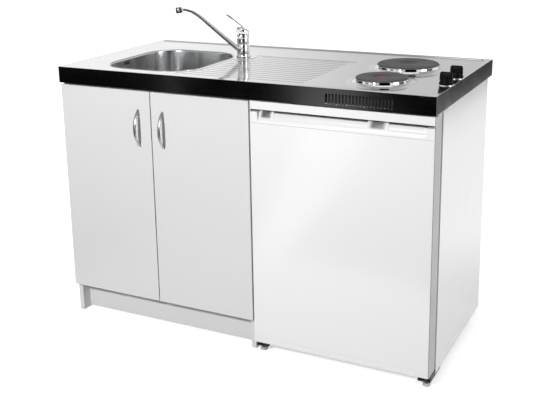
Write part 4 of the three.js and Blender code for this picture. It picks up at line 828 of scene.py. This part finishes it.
def hotplate(place, diameter, y):
    rim = diameter / 2
    shape = Shape().turn(
        [(0, PLATE_TOP - 2.2), (22, PLATE_TOP - 2.2), (24, PLATE_TOP - 2.0), (27, PLATE_TOP - 0.5),
         (29, PLATE_TOP), (rim - 5, PLATE_TOP), (rim - 3, PLATE_TOP - 0.3),
         (rim - 1.3, PLATE_TOP - 1.2), (rim - 0.3, PLATE_TOP - 2.6), (rim, PLATE_TOP - 4.5),
         (rim, 2), (rim - 7, 2), (rim - 7, -12), (5, -12), (5, -44), (0, -44)],
        (HOB_X, y, TOP), sides=128)
    red = RED_SPOT if place == "front" else 0
    iron = cast_iron(f"cast_iron_{place}", at(HOB_X, y, TOP), red)
    make_piece(f"hotplate_{place}_cast", shape, iron, "unit", [f"hotplate_{place}"])


def spill_ring(place, diameter, y):
    """Polished ring: a band under the plate's rim that flares into a rolled foot."""
    rim = diameter / 2 + 0.3
    profile = [(-4, 1.6), (0, 2.0), (0.3, 10.3), (0.7, 10.9), (1.2, 10.8), (1.6, 10.2), (2.0, 8.5),
               (2.5, 5.0), (3.1, 3.8), (4.4, 3.1), (6.4, 2.7), (8.2, 2.2), (9.2, 1.5), (9.6, 0.7),
               (9.4, 0.15)]
    shape = Shape().turn([(rim + r, h) for r, h in profile][::-1], (HOB_X, y, TOP), sides=128)
    make_piece(f"spill_ring_{place}_polished", shape, CHROME, "unit", [f"spill_ring_{place}"])


def hob_knob(place, y):
    """A round skirted knob with a rounded bar to grip and a pale pointer line."""
    shape = Shape().turn(
        [(0, -12), (3, -12), (3, 0.6), (18.2, 0.6), (19, 1.4), (19, 6.5), (18.4, 8), (17, 9),
         (16.4, 12), (16.0, 17), (15.2, 18.6), (13.5, 19.4), (0, 19.6)], (KNOB_X, y, TOP))
    rings = []
    for t in fractions(8):
        pull = 0 if t < 0.7 else 1.0 - math.sqrt(max(0.0, 1 - ((t - 0.7) / 0.3) ** 2))
        half_x, half_y = 17.6 - 0.6 * t - 2.4 * pull, 6.2 - 0.9 * t - 2.2 * pull
        rings.append(rounded_rectangle(KNOB_X - half_x, KNOB_X + half_x, y - half_y, y + half_y,
                                       min(half_y, 3.2) * 0.95, TOP + 12 + KNOB_BAR * t, 5))
    shape.skin(rings, close=True)
    make_piece(f"hob_knob_{place}_moulded", shape, KNOB_PLASTIC, f"knob_{place}",
               [f"hob_knob_{place}"], sharp=40)
    mark = Shape().brick((KNOB_X - 16.5, y - 0.6, TOP + 34.6), (KNOB_X - 7, y + 0.6, TOP + 35.0))
    make_piece(f"hob_knob_{place}_pointer", mark, MOULDING, f"knob_{place}")


# ---------------------------------------------------------------- tap


def around_tap(shape):
    """Turns a shape drawn with the spout along +X to the spout's direction, on the worktop."""
    turn = Matrix.Rotation(SPOUT_AZIMUTH, 3, "Z")
    shape.spots = [turn @ spot + Vector((TAP_X, TAP_Y, TOP)) for spot in shape.spots]
    return shape


def tap_body():
    shape = Shape().turn(
        [(0, -30), (16.5, -30), (16.5, -9.2), (25, -9.2), (25, -1.4), (16.5, -1.4), (16.5, 0.3),
         (22.6, 0.3), (23, 0.9), (23, 2.6), (22.3, 3.6), (20.9, 4.4), (20.2, 5.6), (20, 9.8),
         (15, 10), (15, 44), (19.6, 44.2), (20, 44.8), (20, 70), (19.6, 71), (0, 71)], sides=72)
    make_piece("tap_body_turned", around_tap(shape), CHROME, "unit", ["tap_body"])
    seal = Shape().turn([(16, 0), (22.9, 0), (23.2, 0.4), (22.9, 0.8), (16, 0.8)])
    make_piece("tap_foot_seal", around_tap(seal), RUBBER, "unit")


def tap_spout():
    shape = Shape().turn(
        [(15.6, 10.6), (19.4, 10.6), (20, 11.2), (20, 42.8), (19.4, 43.4), (15.6, 43.4),
         (15.6, 10.6)], sides=72)
    path = smooth_curve([(15, 0, 25), (45, 0, 51), (75, 0, 78), (105, 0, 105.5), (133, 0, 131),
                         (157, 0, 148.5), (172, 0, 155), (183, 0, 157.6), (191, 0, 157.3)])
    radii = [7.8 - 2.9 * min(1, 1.5 * t) for t in fractions(len(path) - 1)]
    shape.tube(path, radii, sides=28, side=(0, 1, 0))
    make_piece("tap_spout_bent", around_tap(shape), CHROME, "spout", ["tap_spout"], sharp=45)
    # the outlet: a polished collar and lip, with a ribbed grip ring and a sleeve between them
    lay = Matrix.Rotation(QUARTER + math.radians(6), 3, "Y")
    end = (190.2, 0, 157.6)
    cup = Shape().turn(
        [(5.4, -1), (7.8, 0), (8.8, 0.9), (9.2, 2.2), (9.2, 4.4), (8.2, 4.8), (8.2, 11.2),
         (9.6, 11.6), (10, 12.4), (10, 14.6), (9.6, 15.4), (8.2, 15.8), (8.2, 20.4), (7.6, 20.8),
         (7.4, 18.5), (0, 18.5)], end, sides=48, lay=lay)
    make_piece("tap_aerator_cup", around_tap(cup), CHROME, "spout", ["tap_aerator"])
    rings = Shape()
    for start, stop in ((4.7, 11.3), (15.7, 20.9)):
        rings.turn([(8.0, start), (9.4, start + 0.3), (9.6, start + 0.8), (9.6, stop - 0.8),
                    (9.4, stop - 0.3), (8.0, stop)], end, sides=48, lay=lay)
    make_piece("tap_aerator_grip", around_tap(rings), RUBBER, "spout")


def tap_cap_and_lever():
    """The cap leans towards the spout, and the lever bends out of the slot in its top."""
    foot, height, radius, lean = 72.4, 26.5, 20, 6.0
    cap = Shape().turn(
        [(0, 71.6), (19.4, 71.6), (radius, foot), (radius, 90), (19.7, 93), (18.6, 95.8),
         (16.4, 97.6), (13, 98.4), (7, 98.8), (0, 98.9)], sides=72)
    for spot in cap.spots:
        spot.z -= lean * max(0.0, (spot.z - foot) / height) * (1 - spot.x / radius)
    make_piece("tap_cap_domed", around_tap(cap), CHROME, "tap_cap", ["tap_cap"])
    path = [Vector((x, 0, z)) for x, z in
            ((19.8, 79), (19.8, 88), (17.2, 95.6), (11, 95.6), (0, 92.8), (-6, 90.9))]
    # A flat black strip on the cap: painted shade for the hollow of the lever's slot.
    groove = Shape().tube(path, 3.6, side=(0, 1, 0), flat=0.22)
    make_piece("tap_cap_slot_shade", around_tap(groove), RUBBER, "tap_cap")
    rod = smooth_curve([(-2, 0, 85), (1.5, 0, 95), (8, 0, 103), (20, 0, 113), (34, 0, 124.6),
                        (43, 0, 131.4), (50, 0, 135.8)])
    radii = [2.6 if along < 0.2 else 1.9 if along < 0.62 else 3.0 if along < 0.86 else 2.4
             for along in fractions(len(rod) - 1)]
    lever = Shape().tube(rod, radii, sides=20, side=(0, 1, 0))
    ball = [(spot.y, -spot.x) for spot in arc(0, 0, 2.5, 0, math.pi, 10, 0)]
    lever.turn(ball, rod[-1], sides=20)
    make_piece("tap_lever_bent", around_tap(lever), NICKEL, "tap_lever", ["tap_lever"], sharp=45)


# ---------------------------------------------------------------- waste, below and inside


def waste():
    cup = Shape().turn(
        [(41, -44), (41, 0.6), (43, 1.9), (50, 2.0), (54.5, 1.4), (DRAIN_FLANGE, 0.1), (45.2, -0.2),
         (43, -1), (43, -44), (20, -46), (20, -74), (18, -74), (18, -42), (41, -42)],
        (BOWL_X, DRAIN_Y, TOP - BOWL_DEPTH), sides=72)
    make_piece("drain_cup_pressed", cup, CHROME, "unit", ["drain_cup"])
    softened("strainer_basket", CHROME, 0.3, sharpest=35)
    for node in ("bottle_trap", "waste_pipe"):
        softened(node, PIPE, 0.6, sharpest=40)
    face = BOWL_X - BOWL_HALF_X
    mouth = (RUBBER, lambda middle, normal: middle.x > face - 2 and middle.z > TOP - 45)
    softened("overflow_pipe", PIPE, 0.6, sharpest=40, others=[mouth])
    # The tray is black as painted shade, so the inside seen through the cooling slots looks dark.
    softened("hob_tray", RUBBER, 0.3)
    for place in KNOBS:
        softened(f"hob_switch_{place}", KNOB_PLASTIC, 0.5, sharpest=40)


# ---------------------------------------------------------------- cupboard


def bow_handle(place, x):
    """A smooth bow with an oval section, widest in the middle and thin at both ends."""
    half, crest = 57.0, 24.0
    path, radii = [], []
    for t in fractions(48):
        along = 2 * t - 1
        bow = 1 - along * along
        path.append(Vector((x, DOOR_FACE - 1.0 - crest * bow, HANDLE_Z + half * along)))
        radii.append(2.0 + 3.3 * math.sqrt(max(0.0, bow)))
    shape = Shape().tube(path, radii, sides=24, flat=0.5, side=(1, 0, 0))
    make_piece(f"handle_{place}_bow", shape, NICKEL, f"door_{place}", [f"handle_{place}"], sharp=60)


def cupboard():
    for node in ("cabinet_side_left", "cabinet_side_right", "cabinet_floor", "cabinet_rail",
                 "plinth", "cabinet_back"):
        softened(node, BOARD, 0.5)
    for place, x in HANDLES.items():
        softened(f"door_{place}", BOARD, 0.9, segments=3)
        bow_handle(place, x)
        for level in ("lower", "upper"):
            softened(f"hinge_cup_{place}_{level}", NICKEL, 0.25, sharpest=40)
            softened(f"hinge_arm_{place}_{level}", NICKEL, 0.6, sharpest=40)


# ---------------------------------------------------------------- refrigerator


def in_groove(spot):
    """Whether a point lies in the groove under the lip of the door's grip."""
    low, high = GROOVE_TOP - 2 * GROOVE_LIFT, GROOVE_TOP + GROOVE_HEIGHT
    return spot.y > DOOR_GRIP_FACE + 5 and low < spot.z < high


def in_pocket(spot):
    """Whether a point lies in the hollow of the door's grip."""
    return spot.y > DOOR_GRIP_FACE + 0.5 and SEAM_Z < spot.z < GROOVE_TOP + GROOVE_HEIGHT


def painted_grip_patch(number, left, right):
    """A painted dark patch for shade and reflection on the moulding, leaning back with the ramp of
    the grip.
    """
    rings = []
    for inset, depth in ((1.4, 2), (0.4, 2.4), (0, 3.2), (0, 16)):
        loop = rounded_rectangle(left + inset, right - inset, PATCH_LOW + inset,
                                 PATCH_HIGH - inset, 3, 0, 4)
        rings.append([
            Vector((s.x, DOOR_GRIP_FACE + depth + PATCH_LEAN * (s.y - PATCH_LOW), s.y))
            for s in loop])
    shape = Shape().skin(rings, close=True)
    make_piece(f"fridge_grip_painted_patch_{number}", shape, PAINTED_PATCH_GREY, "fridge_door")


def refrigerator():
    softened("fridge_casing", ENAMEL, 1.2)
    sides = (TRIM, lambda middle, normal: normal.x > 0.8)
    # Painted shade: the groove under the lip takes a dark grey.
    groove = (GROOVE_SHADE, lambda middle, normal: abs(normal.x) < 0.8 and in_groove(middle))
    # Painted shade: the ramp of the grip takes a greyer copy of the moulding.
    ramp = (RAMP_SHADE, lambda middle, normal: normal.z > 0.15 and in_pocket(middle))
    # Painted shade: a dark grey line on the door's rounded front corner.
    corner = (CORNER_SHADE,
              lambda middle, normal: 0.2 < normal.x <= 0.8 and middle.y < CORNER_DEPTH)
    softened("fridge_door_shell", ENAMEL, 0.8, sharpest=40, others=[sides, corner])
    softened("fridge_door_grip", MOULDING, 0.8, sharpest=28, segments=3,
             others=[ramp, groove, sides, corner],
             lift=(GROOVE_TOP - GROOVE_FOOT, GROOVE_TOP + 1, 2 * GROOVE_LIFT, GROOVE_LIFT))
    seam = Shape().brick((65, DOOR_GRIP_FACE - 0.05, SEAM_Z - 0.7),
                         (TOP_HALF - 2, DOOR_GRIP_FACE + 2, SEAM_Z + 0.7))
    make_piece("fridge_door_seam", seam, TRIM, "fridge_door")
    # painted patches of shade and reflection on the ramp of the grip
    for number, (left, right) in enumerate(GRIP_PAINTED_PATCHES, start=1):
        painted_grip_patch(number, left, right)
    softened("fridge_gasket", SEAL, 1.5, segments=3)
    softened("fridge_liner", MOULDING, 0.6)
    for node in ("fridge_door_liner", "thermostat_housing"):
        softened(node, MOULDING, 2.0, segments=3)
    softened("thermostat_knob", MOULDING, 0.4, sharpest=40)
    for node in ("door_bin_lower", "door_bin_upper", "crisper_drawer"):
        softened(node, CLEAR, 0.6)
    for node in ("glass_shelf", "crisper_cover"):
        softened(node, GLASS, 0.8)
    softened("fridge_hinge_upper", ZINC, 0.4, sharpest=40)
    pad = (TRIM, lambda middle, normal: middle.z < FOOT_PAD)
    for node in ("fridge_hinge_lower", "fridge_foot_left"):
        softened(node, BLACK_ENAMEL, 0.5, sharpest=40, others=[pad])
    softened("compressor", BLACK_ENAMEL, 0.5, sharpest=40)


def condenser():
    """One tube folded to and fro, with thin wires across both sides."""
    low, high = (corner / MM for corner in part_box("condenser"))
    y, tube, runs, wires, apart = 558, 2.5, 9, 26, 3.2
    bend = 27
    left, right = low.x + tube + bend, high.x - tube - bend
    top = (low.z + high.z) / 2 + (runs - 1) * bend
    bottom = top - 2 * bend * (runs - 1)
    path = []
    for i in range(runs):
        z = top - 2 * bend * i
        start, end, way = (left, right, 1) if i % 2 == 0 else (right, left, -1)
        path += [Vector((start, y, z)), Vector((end, y, z))]
        if i < runs - 1:
            for t in fractions(8)[1:-1]:
                path.append(Vector((end + way * bend * math.sin(math.pi * t), y,
                                    z - bend * (1 - math.cos(math.pi * t)))))
    shape = Shape().tube(path, tube, sides=12, side=(0, 1, 0))
    for i, t in enumerate(fractions(wires - 1)):
        x, depth = left + (right - left) * t, y + (apart if i % 2 else -apart)
        shape.tube([Vector((x, depth, bottom - 20)), Vector((x, depth, top + 20))], 0.8, sides=8,
                   side=(1, 0, 0))
    for x in (left, right):
        for z in (bottom + bend, top - bend):
            shape.brick((x - 5, 548.3, z - 6), (x + 5, y + 2, z + 6))
    make_piece("condenser_coil", shape, BLACK_ENAMEL, "unit", ["condenser"], sharp=60)


# ---------------------------------------------------------------- stage, lights and camera

AMBIENT = 0.28
FLOOR_GLOW, FAR_GLOW = 0.55, 1.0  # near the unit and away from it
NEAR_AND_FAR = 0.75, 1.3
FLOOR_BOUNCE = 0.2
FLOOR_HALF = 12

YAW, PITCH, ROLL = 0.4696, 0.2507, -0.0176
LENS, SHIFT = 59.42, (0.0137, -0.12)
CAMERA_PLACE = (1227.9, -2181.0, 1304.9)

# What mirrors see of the room: (from, to, there, there) of a direction's X and Z part.
ROOM_LEFT = (-0.54, -0.30, 1.0, 0.62)
ROOM_RIGHT = (-0.05, 0.35, 0.0, 0.38)
ROOM_HEIGHTS = (0.22, 0.75, 1.0, 0.5)

# Screens, by (degrees from the front to the right, bottom) at either end, top and brightness.
SCREEN_DISTANCE = 2.6
SCREEN_STEP = 6  # degrees, about, of each flat part
APRON = 1.0
SCREENS = [
    ((-62, 0), (-33.4, 0), 0.62, 0.0),
    ((-32.6, 0), (-18, 0), 0.62, 0.0),
    ((-10, 0), (62, 0), 0.62, 0.0),
    ((146.5, 0.01), (163, 0.56), 1.0, 0.1),
    ((-122, 0.9), (-62, 0.9), 1.9, 0.02),
    ((-45, 0.9), (-30, 0.9), 1.9, 0.25),
    ((16, 0.8), (56, 0.8), 4.5, 0.0),
    ((88, 0.9), (112, 0.9), 1.9, 0.15),
]


def seen_directly(tree, strength):
    """strength on camera, glossy and transmission rays, 0 on the others."""
    rays = add_node(tree, "ShaderNodeLightPath").outputs
    total = rays["Is Camera Ray"]
    for label in ("Is Glossy Ray", "Is Transmission Ray"):
        total = calculated(tree, "MAXIMUM", total, rays[label])
    return calculated(tree, "MULTIPLY", total, strength)


def studio_floor():
    """A white floor. What it throws back on to the unit is that of a grey one."""
    mesh = bpy.data.meshes.new("studio_floor")
    corners = [(-1, -1), (1, -1), (1, 1), (-1, 1)]
    mesh.from_pydata([(x * FLOOR_HALF, y * FLOOR_HALF, -0.0005) for x, y in corners], [],
                     [[0, 1, 2, 3]])
    material = new_material("studio_floor_white")
    tree = material.node_tree
    away = distance(tree, coordinates(tree, "Object"))
    glow = graded(tree, away, *NEAR_AND_FAR, FLOOR_GLOW, FAR_GLOW)
    bounce = add_node(tree, "ShaderNodeLightPath").outputs["Is Diffuse Ray"]
    set_shader(material, Base_Color=mixed(tree, bounce, rgba(0.8), rgba(FLOOR_BOUNCE)),
               Roughness=0.9, Emission_Color=WHITE, Emission_Strength=seen_directly(tree, glow))
    mesh.materials.append(material)
    put_in_scene("studio_floor", mesh)


def mirrored_room(tree):
    """What polished parts see: a white room, greyer straight behind the unit and above it."""
    parts = split(tree, coordinates(tree, "Generated"))
    across = calculated(tree, "ADD", graded(tree, parts["X"], *ROOM_LEFT),
                        graded(tree, parts["X"], *ROOM_RIGHT))
    return calculated(tree, "MULTIPLY", across, graded(tree, parts["Z"], *ROOM_HEIGHTS))


def studio_world():
    """Soft light on the unit, plain white for the camera and the room for polished parts."""
    world = bpy.data.worlds.new("studio_white")
    world.use_nodes = True
    tree = world.node_tree
    tree.nodes.clear()
    soft, plain, room = (
        add_node(tree, "ShaderNodeBackground", WHITE, strength).outputs[0]
        for strength in (AMBIENT, 1.0, mirrored_room(tree)))
    direct = add_node(tree, "ShaderNodeMixShader", seen_directly(tree, 1.0), soft, plain)
    glossy = add_node(tree, "ShaderNodeLightPath").outputs["Is Glossy Ray"]
    surface = add_node(tree, "ShaderNodeMixShader", glossy, direct.outputs[0], room)
    add_node(tree, "ShaderNodeOutputWorld", surface.outputs[0])
    bpy.context.scene.world = world


def dark_screens():
    """Screens round the set, at a distance, that only mirror-like parts see."""
    for number, (first, last, high, tone) in enumerate(SCREENS):
        name = f"studio_screen_{number}"
        form = bmesh.new()
        columns = []
        for t in fractions(max(2, int(abs(last[0] - first[0]) / SCREEN_STEP))):
            angle, low = (a + (b - a) * t for a, b in zip(first, last))
            x, y = math.sin(math.radians(angle)), -math.cos(math.radians(angle))
            column = [(x * SCREEN_DISTANCE, y * SCREEN_DISTANCE, z) for z in (low, high)]
            if low == 0:
                column.insert(0, (x * APRON, y * APRON, 0.002))
            columns.append([form.verts.new(spot) for spot in column])
        for left, right in zip(columns, columns[1:]):
            for k in range(len(left) - 1):
                form.faces.new((left[k], right[k], right[k + 1], left[k + 1]))
        mesh = bpy.data.meshes.new(name)
        form.to_mesh(mesh)
        form.free()
        mesh.materials.append(set_shader(
            new_material(name), Base_Color=BLACK, Specular_IOR_Level=0, Emission_Color=WHITE,
            Emission_Strength=tone))
        screen = put_in_scene(name, mesh)
        for kind in ("camera", "diffuse", "transmission", "volume_scatter", "shadow"):
            setattr(screen, "visible_" + kind, False)


def soft_light(name, place, target, size, power, mirrored=True):
    """An area light. mirrored says whether polished parts show it."""
    data = bpy.data.lights.new(name, "AREA")
    data.shape = "RECTANGLE"
    data.size, data.size_y = size
    data.energy = power
    light = put_in_scene(name, data)
    light.location = place
    light.rotation_euler = (Vector(target) - Vector(place)).to_track_quat("-Z", "Y").to_euler()
    light.visible_glossy = mirrored


def studio_lights():
    soft_light("front_key", (-0.3, -3.1, 2.05), (0, 0, 0.5), (0.28, 0.28), 92)
    soft_light("top_soft", (0.2, 0.2, 3.4), (0, 0, 0.8), (2.6, 1.8), 14)
    soft_light("right_fill", (3.6, -0.4, 1.5), (0.4, 0, 0.5), (1.6, 1.6), 50)
    soft_light("back_fill", (-3.2, 2.6, 1.5), (-0.2, 0.1, 0.5), (1.6, 1.6), 60, mirrored=False)


def photo_camera():
    """The photograph's own view: place, direction, lens and shift."""
    ahead = Vector((-math.sin(YAW) * math.cos(PITCH), math.cos(YAW) * math.cos(PITCH),
                    -math.sin(PITCH)))
    right = Vector((math.cos(YAW), math.sin(YAW), 0))
    up = right.cross(ahead)
    rolled = right * math.cos(ROLL) + up * math.sin(ROLL)
    upright = up * math.cos(ROLL) - right * math.sin(ROLL)
    data = bpy.data.cameras.new("photo_camera")
    data.sensor_width, data.lens = 36, LENS
    data.shift_x, data.shift_y = SHIFT
    data.clip_start, data.clip_end = 0.05, 60
    camera = put_in_scene("photo_camera", data)
    turn = Matrix((rolled, upright, -ahead)).transposed()
    camera.matrix_world = Matrix.Translation(at(*CAMERA_PLACE)) @ turn.to_4x4()
    bpy.context.scene.camera = camera


# ---------------------------------------------------------------- all together

photo_camera()
studio_floor()
studio_world()
studio_lights()
dark_screens()

worktop_sheet()
sink_bowl()
black_edges()
for place, (diameter, y) in PLATES.items():
    hotplate(place, diameter, y)
    spill_ring(place, diameter, y)
for place, y in KNOBS.items():
    hob_knob(place, y)
tap_body()
tap_spout()
tap_cap_and_lever()
waste()
cupboard()
refrigerator()
condenser()

bpy.context.scene.view_settings.view_transform = "Standard"
